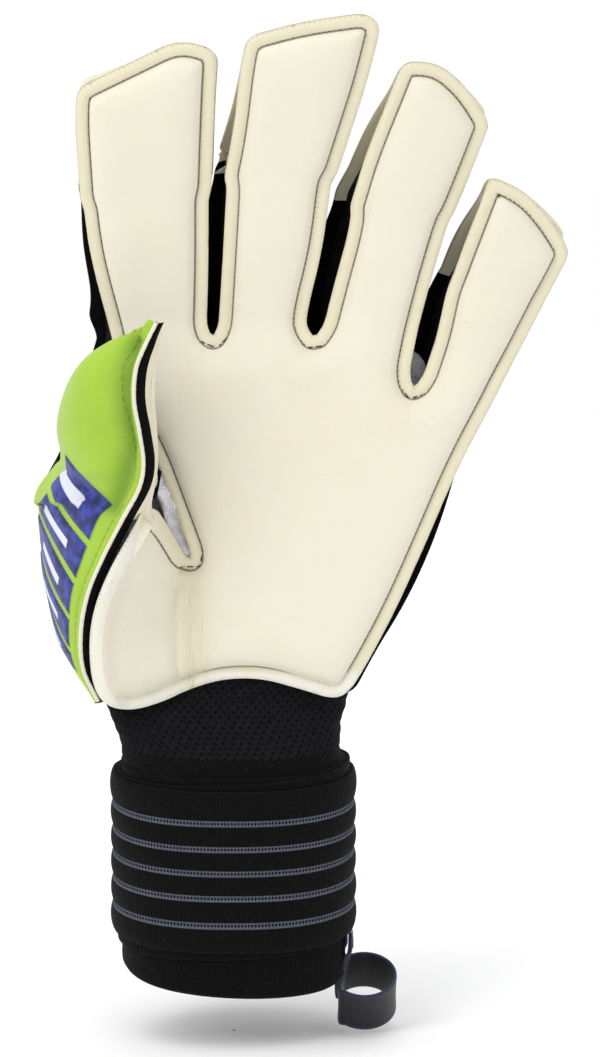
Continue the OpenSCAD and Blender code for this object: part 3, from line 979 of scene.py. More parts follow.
def build_seam_thread():
    """The thread of the seam round the palm and fingers."""
    line = resample(inset(FRONT, SEAM), 0.5)
    x, z = line[:, 0], line[:, 1]
    d = to_outline(line, FRONT)
    path = np.stack([x, -(front_depth(x, z) + front_height(x, z, d) + 0.10), z], axis=1)
    keep = (z > 86) & ~((x < -24) & (z < 136))
    starts = np.flatnonzero(keep & ~np.roll(keep, 1))
    paths = []
    for start in starts:
        rolled, kept = np.roll(path, -start, axis=0), np.roll(keep, -start)
        stop = len(kept) if kept.all() else kept.argmin()
        paths.append(rolled[:stop])
    points, faces = dashes(paths)
    flat = points[:, [0, 2]].copy()
    points = bend_fingers(points, flat)
    zones = palm_zones(centres(flat, faces), centres(points, faces))
    return split("palm_seam", points, faces, zones, [THREAD], "thread")


front = build_front()
back = build_back()
walls = build_walls()
seam = build_seam_thread()


# ---- Thumb and the green side panel ----

# Rails that run up the thumb side, as x, y, z: the seam at the front, the back edge, and the pad's hand side.
SEAM_RAIL = [
    (-39.5, -17, 75.6), (-43.4, -22, 86), (-43.6, -28, 98), (-41.3, -33, 109.5), (-37, -37.5, 120),
    (-31, -42, 132), (-26, -45, 141.5), (-24.6, -47, 149), (-25.6, -49, 158), (-27, -50.5, 167),
    (-26.3, -52, 176), (-23.5, -53, 183), (-20.5, -54, 189),
]
BACK_RAIL = [
    (-38.5, 6, 71), (-44.5, 6, 82), (-50, 5, 94), (-54.5, 3, 108), (-56, 0, 121), (-56.5, -3, 134),
    (-50.5, -12, 144), (-47.9, -20, 149), (-48.6, -25, 158), (-46, -30, 167), (-41, -36, 175.5),
    (-34, -43, 181.5), (-22, -52.5, 187.8),
]
PAD_RAIL = [
    (-22, -30, 131), (-23.5, -27, 140), (-24, -29, 149), (-23.5, -31.5, 158), (-23, -34, 167),
    (-22, -38, 176), (-20.8, -44, 183), (-19.8, -51.5, 188),
]
STATIONS = len(SEAM_RAIL) - 1      # the rails' points are numbered, and shapes along them follow the numbers
THUMB_START = 5                    # the number of the point at which the thumb leaves the hand
# The line of the pressed channel round the thumb's lobe, as it is seen from the front.
CHANNEL = [(-26.2, 178.2), (-29.2, 167.1), (-29.4, 156), (-28.1, 149.5), (-29.6, 141.2), (-34, 132.3),
           (-41, 136)]


def curve(points, count):
    """A smooth curve through points, as count points."""
    points = np.asarray(points, float)
    ends = np.vstack([2 * points[0] - points[1], points, 2 * points[-1] - points[-2]])
    at = np.linspace(0, len(points) - 1, count)
    k = np.minimum(at.astype(int), len(points) - 2)
    t = (at - k)[:, None]
    a, b, c, d = (ends[k + i] for i in range(4))
    return 0.5 * (2 * b + (c - a) * t + (2 * a - 5 * b + 4 * c - d) * t ** 2
                  + (3 * b - a - 3 * c + d) * t ** 3)


def to_line(points, line):
    """Distance from flat points to an open polyline."""
    best = np.full(len(points), 1e9)
    for a, b in zip(line, line[1:]):
        a, b = np.array(a), np.array(b)
        t = np.clip(((points - a) @ (b - a)) / ((b - a) @ (b - a)), 0, 1)
        best = np.minimum(best, np.linalg.norm(points - (a + t[:, None] * (b - a)), axis=1))
    return best


def loft(a, b, columns, swell, away):
    """Rows of points from curve a to curve b, swelling by swell (one per row) to the side facing away.

    Returns the points, one outward direction per row, and how far across each column is, 0 to 1."""
    u = np.linspace(0, 1, columns)
    across = b - a
    out = unit(np.cross(np.gradient((a + b) / 2, axis=0), across))
    out *= np.sign(out @ np.array(away, float))[:, None]
    arch = np.sin(np.pi * u) ** 0.85
    bulge = out[:, None] * (np.asarray(swell)[:, None] * arch)[..., None]
    grid = a[:, None] + across[:, None] * u[:, None] + bulge
    return grid.reshape(-1, 3), out, u


def outward(faces, points, away):
    """Turns faces over if most of them look the wrong way."""
    p = points[np.array([f[:3] for f in faces])]
    normal = np.cross(p[:, 1] - p[:, 0], p[:, 2] - p[:, 0]).sum(axis=0)
    return faces if normal @ np.array(away, float) > 0 else [f[::-1] for f in faces]


def sheet(name, points, rows, columns, away, material, slot, values=None, zones=thumb_zones):
    """The pieces made from a grid of points, facing away."""
    faces = outward(strip_faces(rows, columns), points, away)
    return split(name, points, faces, zones(centres(points, faces)), [material], slot, values=values)


def panel_start(q):
    """How far across the side the blue panels begin: the ones nearest the thumb begin further in."""
    return 0.04 + 0.21 * smooth((q - 108) / 13)


def build_side_panel():
    """The green padding below and behind the thumb, with its pressed lobe and inset panels."""
    rows, columns = 170, 64
    back_edge, front_edge = curve(BACK_RAIL, rows), curve(SEAM_RAIL, rows)
    station = np.linspace(0, STATIONS, rows)
    swell = (4.2 + 2.6 * smooth((station - 5.5) / 2.5)) * (1 - smooth((station - 9.5) / 2.5) * 0.75)
    swell *= 0.35 + 0.65 * smooth(station / 2)
    points, out, u = loft(back_edge, front_edge, columns, swell, (-1, -1, 0))
    normals = np.repeat(out, columns, axis=0)
    v = np.tile(u, rows)
    seen = np.stack([points[:, 0], points[:, 2] + 0.14 * points[:, 1] + 2.1], axis=1)
    away = to_line(seen, CHANNEL)
    width = np.repeat(np.linalg.norm(front_edge - back_edge, axis=1), columns)
    to_seam = (1 - v) * width
    q = seen[:, 1] - 26 * (0.85 - v)
    inset_panel = np.zeros(len(points))
    for low, high in PANELS:
        inset_panel += smooth((q - low + 0.6) / 1.2) * smooth((high + 0.6 - q) / 1.2)
    inset_panel *= smooth((PANEL_HALF + 0.02 - np.abs(v - PANEL_MIDDLE)) / 0.03)
    inset_panel *= smooth((v - panel_start(q) + 0.02) / 0.03)
    lobe = smooth((away - 0.5) / 7) * (seen[:, 1] > 133) * (seen[:, 0] < -26)
    # The pressed channel: it sinks the surface here, and the green material darkens it with painted shade
    press_and_shade = bump(away / 2.3)
    relief = 1.8 * lobe - 2.0 * press_and_shade + 0.7 * inset_panel
    relief -= 0.7 * bump((to_seam - 2.6) / 0.7)
    relief += 0.25 * ripple(points[:, 0] + points[:, 1], points[:, 2], 26, 2.0)
    fade = smooth(to_seam / 1.5) * smooth(v * width / 1.5)
    points = points + normals * (relief * fade)[:, None]
    along = np.repeat(lengths_along(front_edge), columns)
    shown = smooth((v - panel_start(q)) / 0.02)
    return sheet("green_side", points, rows, columns, (-1, -1, 0), GREEN, "green_back",
                 {"panel_q": q, "panel_u": v, "seam": to_seam, "along": along, "press_and_shade": press_and_shade,
                  "shown": shown})


def tube(path, radius, sides):
    """A round tube with closed ends along a path: points and faces."""
    ahead = unit(np.gradient(path, axis=0))
    side = unit(np.cross(ahead, [0.3, 1.0, 0.2]))
    up = np.cross(side, ahead)
    radius = np.broadcast_to(radius, (len(path),))
    angles = np.linspace(0, 2 * math.pi, sides, endpoint=False)
    rings = path[:, None] + radius[:, None, None] * (
        side[:, None] * np.cos(angles)[:, None] + up[:, None] * np.sin(angles)[:, None])
    points = rings.reshape(-1, 3)
    faces = strip_faces(len(path), sides, closed=True)
    faces += [tuple(range(sides)), tuple(len(points) - 1 - i for i in range(sides))]
    return points, [f[::-1] for f in faces]


def build_foam_edge():
    """The cut foam edge that shows along the green panel's seam."""
    path = curve(SEAM_RAIL, 150) + np.array([0.45, 0.2, 0])
    rough = 0.62 + 0.08 * ripple(path[:, 2] * 3, path[:, 2], 5, 1.0)
    points, faces = tube(path, rough, 8)
    zones = thumb_zones(centres(points, faces))
    return split("side_foam_edge", points, faces, zones, [LATEX_SKIN], "latex",
                 values=latex_values(np.ones(len(points)), raw=0.4))


def stripe_width(station):
    """How wide the black strip is at a place along the rails."""
    return 3.6 - smooth((station - 10) / 2)


def build_thumb_stripe():
    """The black strip between the green panel and the palm, which carries on up the thumb."""
    rows, columns = 130, 8
    seam = curve(SEAM_RAIL, rows)
    station = np.linspace(0, STATIONS, rows)
    wide = stripe_width(station)
    inner = seam + np.stack([wide, 2.6 - 0.5 * smooth((station - 5) / 2), 0 * wide], axis=1)
    points, _, _ = loft(seam, inner, columns, np.full(rows, 0.5), (1, -1, 0))
    points[:, 1] += 0.15 * ripple(points[:, 0] * 2, points[:, 2] * 2, 6, 3.0)
    return sheet("thumb_stripe", points, rows, columns, (0, -1, 0), KNIT, "black_knit")


def thumb_rails(rows):
    """The stripe's inner edge, the pad's hand side and the back edge, from THUMB_START on."""
    inner = curve(SEAM_RAIL[THUMB_START:], rows)
    station = np.linspace(THUMB_START, STATIONS, rows)
    inner = inner + np.stack([stripe_width(station), 0 * station + 2.1, 0 * station], axis=1)
    return inner, curve(PAD_RAIL, rows), curve(BACK_RAIL[THUMB_START:], rows)


def build_thumb_pad():
    """The thumb's latex pad, which faces the fingers."""
    rows, columns = 90, 26
    inner, pad, _ = thumb_rails(rows)
    swell = 2.2 * np.sin(np.pi * np.linspace(0.05, 1, rows)) ** 0.6
    points, out, u = loft(inner, pad, columns, swell, (1, -0.3, 0))
    width = np.repeat(np.linalg.norm(pad - inner, axis=1), columns)
    rim = np.minimum(np.tile(u, rows), 1 - np.tile(u, rows)) * width
    groove = 0.6 * bump((rim - SEAM) / 0.6)
    points = points - np.repeat(out, columns, axis=0) * groove[:, None]
    return sheet("thumb_pad", points, rows, columns, (1, -0.3, 0), LATEX_SKIN, "latex", latex_values(rim))


def build_thumb_back():
    """The knit behind the thumb."""
    rows, columns = 90, 30
    _, pad, back_edge = thumb_rails(rows)
    swell = 3.0 * np.sin(np.pi * np.linspace(0.12, 1, rows)) ** 0.7
    points, _, _ = loft(pad, back_edge, columns, swell, (0, 1, 0))
    points[:, 1] += 0.4 * ripple(points[:, 0], points[:, 2], 12, 6.0)
    return sheet("thumb_back", points, rows, columns, (0, 1, 0), KNIT, "black_knit")


def build_web():
    """The knit that joins the thumb's back to the hand beside the index finger."""
    rows, columns = 24, 30
    u = np.linspace(0, 1, columns)[:, None]
    thumb_side = (1 - u) * np.array([-23.5, -27, 140]) + u * np.array([-50.5, -12, 144])
    hand_side = (1 - u) * np.array([-19.5, -9.5, 150]) + u * np.array([-46, 9, 149])
    points = []
    for t in np.linspace(0, 1, rows):
        row = (1 - t) * thumb_side + t * hand_side
        row[:, 2] -= 9 * math.sin(math.pi * t) + 0.4 * np.sin(9 * u[:, 0] * math.pi)
        points.append(row)
    return sheet("thumb_web", np.vstack(points), rows, columns, (0, 0, 1), KNIT, "black_knit",
                 zones=lambda middles: np.full(len(middles), "web"))


def back_edge_at(z):
    """The back panel's thumb-side stitch line at a height."""
    edge = BACK_CORNERS[-8:]
    return np.interp(z, [corner[1] for corner in edge], [corner[0] for corner in edge]) + 3.2


def build_side_wall():
    """The knit between the green side panel's back edge and the back of the hand."""
    rows, columns = 60, 12
    front_edge = curve(BACK_RAIL[:7], rows)
    z = np.linspace(74, 150, rows)
    rear_edge = np.stack([back_edge_at(z), np.full(rows, 10.4), z], axis=1)
    points, _, _ = loft(front_edge, rear_edge, columns, np.full(rows, 1.6), (-1, 0, 0))
    return sheet("side_wall", points, rows, columns, (-1, 0, 0), KNIT, "black_knit",
                 zones=lambda middles: np.where(middles[:, 2] > 121, "thumb_side", "hand"))


side_panel = build_side_panel()
build_foam_edge()
stripe = build_thumb_stripe()
pad = build_thumb_pad()
thumb_back = build_thumb_back()
web = build_web()
side_wall = build_side_wall()


# ---- Wrist and cuff ----

CUFF_WIDTH, CUFF_DEPTH, CUFF_DROP = 65.6, 46.0, 4.4
OVAL_POWER = 2.35                             # 2 would be an ellipse, and more is squarer
STRAP_LOW, STRAP_HIGH = 11.0, 57.4
STRIPES = [7.6, 15.1, 22.4, 29.6, 37.2]      # above the strap's lower edge


def oval(width, depth, count):
    """A squarish oval round the origin, as even x, y points that run clockwise from the back."""
    angle = np.linspace(0, 2 * math.pi, 721)[:-1]
    x, y = np.sin(angle), np.cos(angle)
    points = np.stack([width / 2 * np.sign(x) * np.abs(x) ** (2 / OVAL_POWER),
                       depth / 2 * np.sign(y) * np.abs(y) ** (2 / OVAL_POWER)], axis=1)
    return resample(points, lengths_along(np.vstack([points, points[:1]]))[-1] / count)


CUFF = oval(CUFF_WIDTH, CUFF_DEPTH, 220)
CUFF_OUT = -edge_normals(CUFF)
CUFF_AROUND = np.arange(len(CUFF)) * np.linalg.norm(CUFF[1] - CUFF[0])


def sag(x, y, z):
    """The cuff's front hangs lower than its sides, most of all at the rim."""
    front = np.minimum(y, 0)
    near_rim = 1 - smooth(z / 12)
    droop = CUFF_DROP + 2.0 * (1 - smooth(z / 30))
    return z - droop + front * (0.11 + 0.13 * near_rim) - 0.05 * x * near_rim


def wrap(profile, wobble=0.0, slant=0.0):
    """A closed band round the cuff from a profile of (height, way out): points, faces, around, up."""
    rows, up, length = [], [], 0.0
    for i, (z, out) in enumerate(profile):
        out = out + wobble * ripple(CUFF_AROUND, np.full(len(CUFF), z), 23, 1.0)
        xy = CUFF + CUFF_OUT * np.reshape(out, (-1, 1))
        height = sag(xy[:, 0], xy[:, 1], z) + slant * xy[:, 0]
        rows.append(np.column_stack([xy, height]))
        if i:
            length += math.hypot(z - profile[i - 1][0], profile[i][1] - profile[i - 1][1])
        up.append(np.full(len(CUFF), length))
    points = np.vstack(rows)
    faces = strip_faces(len(profile), len(CUFF), closed=True)
    around = np.tile(CUFF_AROUND, len(profile))
    return points, faces, around, np.concatenate(up)


def band(name, profile, material, wobble, slant=0.0, values=None):
    """A band of elastic round the cuff."""
    points, faces, around, up = wrap(profile, wobble, slant)
    obj = make(name, points, outward_from_axis(faces, points), [material], None,
               {"around": around, "up": up, **(values or {})})
    return place(obj, "cuff", "elastic")


def outward_from_axis(faces, points):
    """Turns faces over if the first looks towards the wrist's axis."""
    first = points[list(faces[0])]
    normal = np.cross(first[1] - first[0], first[2] - first[0])
    return faces if normal[:2] @ first.mean(axis=0)[:2] > 0 else [f[::-1] for f in faces]


def rolled(low, high, out, thick, steps=5):
    """A profile up the outside from low to high, with rounded edges and a little of the inside."""
    rows = []
    for a in np.linspace(-math.pi / 2, 0, steps):
        rows.append((low + thick / 2 + thick / 2 * math.sin(a), out - thick / 2 + thick / 2 * math.cos(a)))
    rows += [(z, out) for z in np.linspace(low + thick / 2 + 1, high - thick / 2 - 1, 30)]
    for a in np.linspace(0, math.pi / 2, steps):
        rows.append((high - thick / 2 + thick / 2 * math.sin(a), out - thick / 2 + thick / 2 * math.cos(a)))
    return [(low + thick / 2, out - thick)] + rows + [(high - thick / 2, out - thick)]


def strap_profile():
    """The outer turn bulges between its stripes."""
    edges = [0.0, *STRIPES, STRAP_HIGH - STRAP_LOW]
    rows = [(STRAP_LOW + 0.5, 1.6), (STRAP_LOW - 0.1, 2.2)]
    for low, high in zip(edges, edges[1:]):
        for t in np.linspace(0.03, 0.97, 12):
            out = 2.5 + 1.1 * abs(math.sin(math.pi * t)) ** 0.6
            rows.append((STRAP_LOW + low + (high - low) * t, out))
    return rows + [(STRAP_HIGH + 0.1, 2.2), (STRAP_HIGH - 0.5, 1.6)]


def to_stripe(z):
    """How far each height is from the nearest of the strap's stripes."""
    return np.min([np.abs(z - STRAP_LOW - stripe) for stripe in STRIPES], axis=0)


def build_cuff():
    """The bandage, whose hem turns inside at the rim, and the strap's two turns."""
    inner = [(z, -2.6) for z in np.linspace(60, 2, 24)]
    outside = [(z, 0.3 + 0.25 * bump((z - 2.4) / 2.2)) for z in np.linspace(1.2, 60, 48)]
    hem = [(0.6, -1.9), (0, -1.0), (0.3, -0.1)]
    bandage = band("cuff_bandage", inner + hem + outside + [(60.6, -1.6)], BANDAGE, 0.25)
    inner_turn = band("strap_inner_turn", rolled(9.2, 59.2, 1.6, 1.2), BANDAGE, 0.1, 0.04)
    profile = strap_profile()
    stripe = np.repeat(to_stripe(np.array([z for z, _ in profile])), len(CUFF))
    outer_turn = band("strap_outer_turn", profile, STRAP, 0.12, values={"stripe": stripe})
    return bandage, inner_turn, outer_turn


WRIST_RINGS = [      # height, left, right, front, back
    (48, -32.0, 32.0, -22.4, 22.4), (56, -32.6, 31.8, -22.0, 22.0), (62, -33.6, 31.4, -20.0, 20.8),
    (67, -35.6, 32.0, -16.6, 18.4), (72, -37.6, 33.2, -13.4, 15.6), (77, -39.4, 34.8, -11.2, 13.2),
    (83, -41.0, 37.0, -9.8, 11.2), (94, -42.6, 40.0, -8.8, 10.2),
]


def flat_tube(rings, shrink=0.0, crease=0.0):
    """A tube of rounded sections: points, faces, around, up."""
    count = 200
    dense = curve(rings, 44)
    rows, around, up = [], [], []
    for z, left, right, front, rear in dense:
        width, depth = right - left - 2 * shrink, rear - front - 2 * shrink
        outline = oval(width, depth, count)
        length = np.arange(count) * np.linalg.norm(outline[1] - outline[0])
        out = -edge_normals(outline) * (crease * ripple(length, np.full(count, 4 * z), 17, 2.0))[:, None]
        outline = outline + out + np.array([(left + right) / 2, (front + rear) / 2])
        rows.append(np.column_stack([outline, z + 0.11 * np.minimum(outline[:, 1], 0)]))
        around.append(length)
        up.append(np.full(count, z))
    points = np.vstack(rows)
    faces = strip_faces(len(dense), count, closed=True)
    return points, outward_from_axis(faces, points), np.concatenate(around), np.concatenate(up)


def build_wrist():
    """The air mesh between the palm's heel and the cuff, with elastic below it."""
    points, faces, around, up = flat_tube(WRIST_RINGS, crease=0.35)
    high = up[[f[0] for f in faces]] > 61.5
    mesh = make("wrist_mesh", points, faces, [BANDAGE, AIR_MESH], high.astype(int),
                {"around": around, "up": up})
    return place(mesh, "wrist", "black_knit")


def build_lining():
    """The cloth inside the hand."""
    rings = WRIST_RINGS[1:] + [
        (120, -44, 50, -8.4, 9.2), (150, -38, 60, -8.0, 8.8), (172, -28, 58, -6.0, 7.0),
        (178, -22, 50, -2.0, 3.0)]
    points, faces, _, _ = flat_tube(rings, shrink=1.7)
    return place(make("palm_lining_cloth", points, faces, [LINING]), "wrist", "lining")


LOOP_CENTRE, LOOP_RADIUS = np.array([38.8, 0.0, -15.4]), 9.2
LOOP_TILT, LOOP_HALF = math.radians(34), 7.5      # the lean of its axis, and half the ribbon's width


def build_pull_loop():
    """A satin ribbon sewn inside the rim: a short leg, then a loop, then back up to the leg."""
    width_way = np.array([0, -math.sin(LOOP_TILT), math.cos(LOOP_TILT)])
    round_way = np.array([0, math.cos(LOOP_TILT), math.sin(LOOP_TILT)])
    path = [(33.4, 0.5, 3.4), (33.2, 0.8, -1.5), (31.2, 2.4, -7.0)]
    for a in np.radians(np.arange(155, -165, -20)):
        way = np.array([1, 0, 0]) * math.cos(a) + round_way * math.sin(a) * 0.92
        path.append(LOOP_CENTRE + LOOP_RADIUS * way)
    path += [(32.8, -2.4, -8.0), (34.4, -0.8, -3.0), (34.7, -0.2, 2.6)]
    rows = 150
    line = curve(path, rows)
    t = np.linspace(0, 1, rows)
    twist = smooth(np.minimum(t, 1 - t) / 0.16)[:, None]
    wide = unit((1 - twist) * np.array([0, -1.0, 0.05]) + twist * width_way)
    out = np.cross(unit(np.gradient(line, axis=0)), wide)
    half = LOOP_HALF - 0.8 * (1 - twist[:, 0])
    upper = [(-1, 0.25), (-0.97, 0.42)] + [(a, 0.5) for a in np.linspace(-0.85, 0.85, 13)]
    upper += [(0.97, 0.42), (1, 0.25)]
    section = upper + [(a, -o) for a, o in upper[::-1]]      # across the ribbon and through it
    points = []
    for a, o in section:
        points.append(line + wide * (a * half)[:, None] + out * (1.1 * o + 0.25 * (1 - a * a)))
    points = np.stack(points, axis=1).reshape(-1, 3)
    faces = [f[::-1] for f in strip_faces(rows, len(section), closed=True)]
    count = len(section)
    faces += [tuple(range(count)), tuple(len(points) - 1 - i for i in range(count))]
    values = {"across": np.tile([a for a, _ in section], rows),
              "along": np.repeat(lengths_along(line), count)}
    return place(make("pull_loop_ribbon", points, faces, [RIBBON], None, values), "pull_loop", "ribbon")


cuff_bandage, strap_inner, strap_outer = build_cuff()
wrist = build_wrist()
lining = build_lining()
pull_loop = build_pull_loop()


# ---- Strap end, its tape, and the loop's stitches ----

TAB_ROOT, TAB_END, TAB_CORNER = -17.0, 25.5, 6.0


def lap(name, start, end, low, high, inner, outer, material, corner=0.5, root=False):
    """A plate that follows the back of the cuff from x = start to end, between two heights.

    inner and outer are how far out from the cuff it begins and ends, outer as a function of height.
    root leads its start down into the strap."""
    back = CUFF[CUFF[:, 1] > 0]
    back_out = CUFF_OUT[CUFF[:, 1] > 0]
    order = back[:, 0].argsort()
    xs = np.linspace(start, end, int((end - start) / 0.7))
    line = np.stack([np.interp(xs, back[order, 0], back[order, i]) for i in (0, 1)], axis=1)
    out = np.stack([np.interp(xs, back[order, 0], back_out[order, i]) for i in (0, 1)], axis=1)
    turn = np.clip((xs - end + corner) / corner, 0, 1)
    cut = corner * (1 - np.sqrt(1 - turn ** 2))
    rows = 72
    lay = smooth((xs - start) / 6) if root else np.ones(len(xs))
    outside, inside_grid = [], []
    for t in np.linspace(0, 1, rows):
        z = low + cut + (high - low - 2 * cut) * t
        edge = np.minimum(np.minimum(z - low - cut, high - cut - z), end - xs)
        soft = round_edge(edge, 0.8)
        way = inner + (outer(z) - inner) * (0.35 + 0.65 * soft)
        for grid, amount in ((outside, way), (inside_grid, np.full(len(xs), inner))):
            amount = amount - 2.0 * (1 - lay)
            xy = line + out * amount[:, None]
            grid.append(np.column_stack([xy, sag(xy[:, 0], xy[:, 1], z)]))
    points = np.vstack(outside + inside_grid)
    count, half = len(xs), rows * len(xs)
    faces = strip_faces(rows, count)
    faces += [tuple(half + i for i in f[::-1]) for f in strip_faces(rows, count)]
    rim = list(range(count)) + [r * count + count - 1 for r in range(1, rows)]
    rim += [(rows - 1) * count + c for c in range(count - 2, -1, -1)]
    rim += [r * count for r in range(rows - 2, 0, -1)]
    for a, b in zip(rim, rim[1:] + rim[:1]):
        faces.append((b, a, a + half, b + half))
    if np.cross(points[1] - points[0], points[count] - points[0])[1] < 0:
        faces = [f[::-1] for f in faces]
    z = np.concatenate([np.full(count, low + (high - low) * t) for t in np.linspace(0, 1, rows)] * 2)
    values = {"around": np.tile(xs, 2 * rows), "up": z, "stripe": to_stripe(z)}
    return make(name, points, faces, [material], None, values)


def strap_bulge(z):
    """How far the strap's woven bands stand out at a height."""
    edges = np.array([0.0, *STRIPES, STRAP_HIGH - STRAP_LOW]) + STRAP_LOW
    k = np.clip(np.searchsorted(edges, z) - 1, 0, len(edges) - 2)
    t = (z - edges[k]) / (edges[k + 1] - edges[k])
    return 1.1 * np.abs(np.sin(np.pi * np.clip(t, 0.03, 0.97))) ** 0.6


def build_strap_end():
    """The strap's free end, the hook tape under it and the loop tape it closes on."""
    tab = lap("strap_end_tab", TAB_ROOT, TAB_END, STRAP_LOW, STRAP_HIGH, 4.7,
              lambda z: 5.2 + strap_bulge(z), STRAP, TAB_CORNER, root=True)
    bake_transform(tab)
    hook = lap("strap_hook_tape", -8, 22, 16, 52, 4.15, lambda z: 4.65 + 0 * z, HOOK, 3)
    loop = lap("strap_loop_tape", -8, 22, 15, 53, 2.4, lambda z: 4.0 + 0 * z, LOOP, 3)
    return tab, place(hook, "strap_end", "hook"), place(loop, "cuff", "hook")


def build_tack():
    """The stitches that hold the pull loop to the rim."""
    paths = [[(35.3, -4.6, z), (35.3, 4.6, z)] for z in (1.4, -0.4)]
    paths += [[(35.3, y, 2.0), (35.3, y, -1.0)] for y in (-4.9, 4.9)]
    points, faces = [], []
    for path in paths:
        line = resample(path, 0.35, closed=False)
        tube_points, tube_faces = tube(line, 0.22 + 0.08 * np.abs(np.sin(np.arange(len(line)) * 0.9)), 6)
        faces += [tuple(i + sum(map(len, points)) for i in f) for f in tube_faces]
        points.append(tube_points)
    return place(make("pull_loop_stitches", np.vstack(points), faces, [THREAD]), "cuff", "thread")


# ---- Raised panels on the backhand ----

GREEN_CORNERS = [(-32, 84, 8), (28, 84, 8), (44, 112, 12), (58, 146, 8), (54, 156, 6), (38, 164, 8),
                 (-24, 164, 10), (-40, 148, 10), (-46, 118, 12)]
BACK_TOP = 16.2        # the backhand padding's surface


def raised(name, corners, base, thick, crown, material, slot):
    """A soft panel that stands on the backhand."""
    outline = rounded(corners, 1.2)
    if edge_normals(outline)[0] @ (outline.mean(axis=0) - outline[0]) < 0:
        outline = outline[::-1]

    def height(x, z, d):
        channel = 0.5 * bump((d - 2.4) / 0.6)
        return thick * round_edge(d, 0.9) + crown * round_edge(d - 1, 9) - channel * min(crown, 1)

    _, points, faces, _ = panel(outline, 1, lambda x, z: np.full(len(x), base), height,
                                rim=((0, 0.4), (0.1, 1.2), (1.0, 1.4)),
                                ring_depths=(0.3, 0.9, 1.6, 2.4), spacing=2.0)
    return place(make(name, points, faces, [material]), "hand", slot)


def within(corners, across, up):
    """A smaller four-sided shape inside another, from across to 1 - across and from up to 1 - up."""
    low_left, low_right, high_right, high_left = (np.array(c[:2], float) for c in corners)
    out = []
    for u, v in ((across, up), (1 - across, up), (1 - across, 1 - up), (across, 1 - up)):
        low = low_left + (low_right - low_left) * u
        high = high_left + (high_right - high_left) * u
        out.append((*(low + (high - low) * v), 1.5))
    return out


def build_backhand():
    """The green panel on the back of the hand, its five bars and the pale mark on each."""
    green = raised("backhand_green", GREEN_CORNERS, BACK_TOP, 0.8, 0.6, GREEN_CLOTH, "green_back")
    bars, marks = [], []
    for i in range(5):
        x, lean = -36 + 15 * i, 3.5 * i
        corners = [(x, 94 + i, 2), (x + 11, 93 + i, 2), (x + 13 + lean, 140 + 1.5 * i, 2),
                   (x + 2 + lean, 142 + 1.5 * i, 2)]
        bars.append(raised(f"backhand_bar_{i + 1}", corners, BACK_TOP + 1.3, 0.8, 0.2,
                           BLUE_PRINT, "blue_print"))
        marks.append(raised(f"backhand_mark_{i + 1}", within(corners, 0.34, 0.14), BACK_TOP + 2.2,
                            0.45, 0.05, PALE_PRINT, "white_print"))
    return green, bars, marks


def build_slit_lining():
    """The crumpled pale lining that shows through the slit beside the thumb."""
    rows, columns = 40, 22
    middle = curve([(-11.6, 113), (-12.6, 118), (-16.0, 128), (-19.5, 137), (-21, 142)], rows)
    points = []
    for v in np.linspace(-1, 1, columns):
        reach = 6.5 - (4.5 * smooth((middle[:, 1] - 120) / 14) if v < 0 else 0.0)
        x, z = middle[:, 0] + reach * v, middle[:, 1] + 2.5 * v
        crumple = 1.1 * ripple(x, z, 6, 2.0) + 0.6 * ripple(x, z, 3, 5.0)
        forward = 9.4 + 1.8 * (1 - v * v) + 1.2 * smooth((z - 122) / 8)
        forward += 4.0 * smooth(-v) * smooth((z - 118) / 20) + crumple
        points.append(np.column_stack([x, -forward, z]))
    points = np.stack(points, axis=1).reshape(-1, 3)
    faces = outward(strip_faces(rows, columns), points, (0, -1, 0))
    return place(make("slit_lining", points, faces, [LINING]), "hand", "lining")


build_slit_lining()
strap_tab, strap_hook, strap_loop = build_strap_end()
tack = build_tack()
backhand_green, backhand_bars, backhand_marks = build_backhand()


# ---- Hiding the frame's parts that these pieces replace ----


def declare():
    """Hides the frame's own parts, which the pieces above replace."""
    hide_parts("palm_latex")
    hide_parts("palm_seam_thread")
    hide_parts("backhand_panel")
    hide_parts("ulnar_gusset", "index_side_gusset", "crotch_gussets")
    for name in FINGERS:
        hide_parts(name + "_base_latex", name + "_folds")
        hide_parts(name + "_tip_latex")
        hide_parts(name + "_base_back")
        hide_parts(name + "_tip_back")
        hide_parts(name + "_base_gussets")
        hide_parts(name + "_tip_wrap")
    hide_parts("side_panel_green", "side_panel_blue_bars")
    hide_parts("thumb_base_back")
    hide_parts("thumb_tip_back")
    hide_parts("thumb_base_latex")
    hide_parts("thumb_tip_latex")
    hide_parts("thumb_tip_wrap")
    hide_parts("thumb_base_gussets", "thumb_folds")
    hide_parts("thumb_web_gusset")
    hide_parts("wrist_mesh_panel", "wrist_fold")
    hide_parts("palm_lining")
    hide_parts("cuff_bandage", "cuff_hem")
    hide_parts("strap_inner_turn")
    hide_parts("strap_outer_turn", "strap_stripes")
    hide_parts("pull_loop")
    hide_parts("pull_loop_tack")
    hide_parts("strap_tab")
    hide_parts("strap_hook_patch")
    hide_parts("strap_loop_patch")
    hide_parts("backhand_green_panel")
    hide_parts("backhand_blue_bars")
    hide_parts("backhand_pale_bars")


declare()


# ---- Floor, light and camera ----

FLAT_FLOOR, FLOOR_RISE = 7000, 6000       # in millimetres, how far it is flat, and the curve beyond
AIM = Vector((0.0197, -0.012, 0.1255))    # from here on in metres
LIGHTS = {            # place, size and power
    "key": ((-0.9, -1.0, 0.95), 0.7, 6.5),
    "fill": ((1.2, -0.9, 0.3), 1.2, 1.2),
    "back": ((0.3, 1.2, 0.7), 1.0, 4),
}
CAMERA_DISTANCE, CAMERA_RISE = 1.1, math.radians(8)
CAMERA_SENSOR, SEEN_HEIGHT = 36, 0.3065   # the sensor in mm, and the height seen at the glove


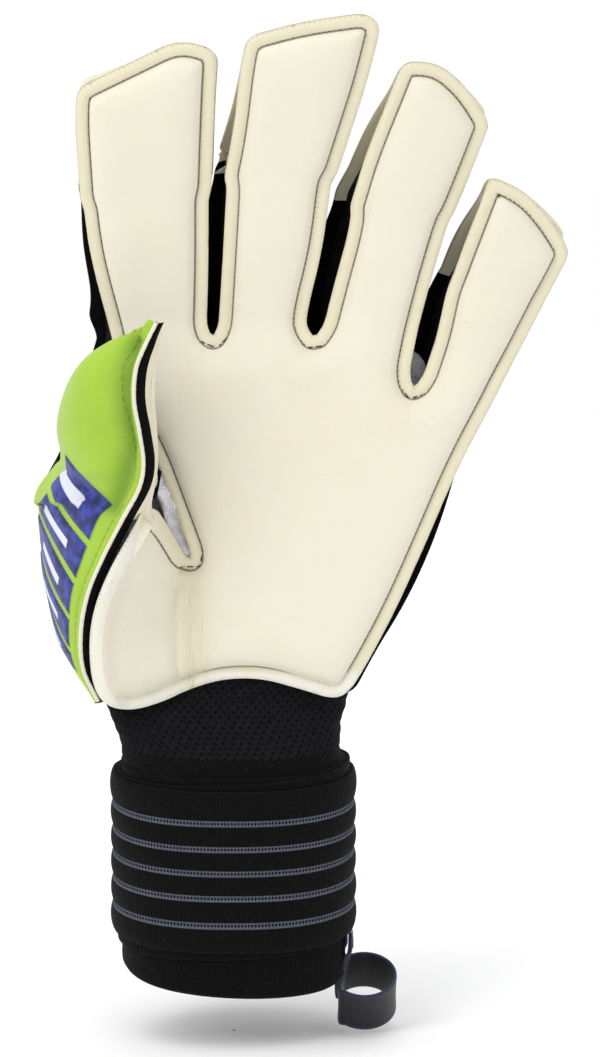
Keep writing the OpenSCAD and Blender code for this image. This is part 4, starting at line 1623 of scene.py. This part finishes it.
def build_stage():
    """A wide pale floor that rises gently far away, past the edge of every view."""
    s = Shader("pale_floor", roughness=0.95, specular=0.05)
    material = s.finish(s.mix(s.noise(300), linear(252, 252, 252), linear(250, 250, 251)), s.noise(3), 0.05)
    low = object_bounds()[0][2] / MM - 1.0
    angles = np.linspace(0, 2 * math.pi, 65)[:-1]
    count = len(angles)
    rings = [(0.5, 0), (800, 0), (3000, 0), (FLAT_FLOOR, 0)]
    rings += [(FLAT_FLOOR + FLOOR_RISE * math.sin(a), FLOOR_RISE * (1 - math.cos(a)))
              for a in np.linspace(0.15, 1.2, 8)]
    points = np.vstack([np.column_stack([r * np.cos(angles), r * np.sin(angles), np.full(count, low + up)])
                        for r, up in rings])
    faces = strip_faces(len(rings), count, closed=True)
    make("floor", points, faces + [tuple(range(count))], [material])


def aimed(obj, place, aim):
    """Puts a light or camera at a place, facing aim."""
    obj.location = place
    obj.rotation_euler = (Vector(aim) - Vector(place)).to_track_quat("-Z", "Y").to_euler()
    bpy.context.scene.collection.objects.link(obj)


def build_light():
    """Soft studio light: three area lights, a wide overhead one and a white surround."""
    for name, (place_at, size, power) in LIGHTS.items():
        light = bpy.data.lights.new(name, "AREA")
        light.size, light.energy = size, power
        aimed(bpy.data.objects.new(name, light), place_at, (0.02, 0, 0.13))
    sun = bpy.data.lights.new("overhead", "SUN")
    sun.energy = 1.15
    sun.angle = math.radians(50)
    obj = bpy.data.objects.new("overhead", sun)
    obj.rotation_euler = (math.radians(12), math.radians(-10), 0)
    bpy.context.scene.collection.objects.link(obj)
    world = bpy.data.worlds.new("studio")
    world.use_nodes = True
    world.node_tree.nodes["Background"].inputs["Color"].default_value = (1, 1, 1, 1)
    world.node_tree.nodes["Background"].inputs["Strength"].default_value = 0.66
    bpy.context.scene.world = world
    bpy.context.scene.view_settings.view_transform = "Standard"


def build_camera():
    """The camera in front of the palm, a little above it."""
    camera = bpy.data.cameras.new("camera")
    camera.sensor_width = CAMERA_SENSOR
    camera.lens = CAMERA_SENSOR * CAMERA_DISTANCE / SEEN_HEIGHT
    obj = bpy.data.objects.new("camera", camera)
    way = Vector((0, -math.cos(CAMERA_RISE), math.sin(CAMERA_RISE)))
    aimed(obj, AIM + way * CAMERA_DISTANCE, AIM)
    bpy.context.scene.camera = obj


build_stage()
build_light()
build_camera()
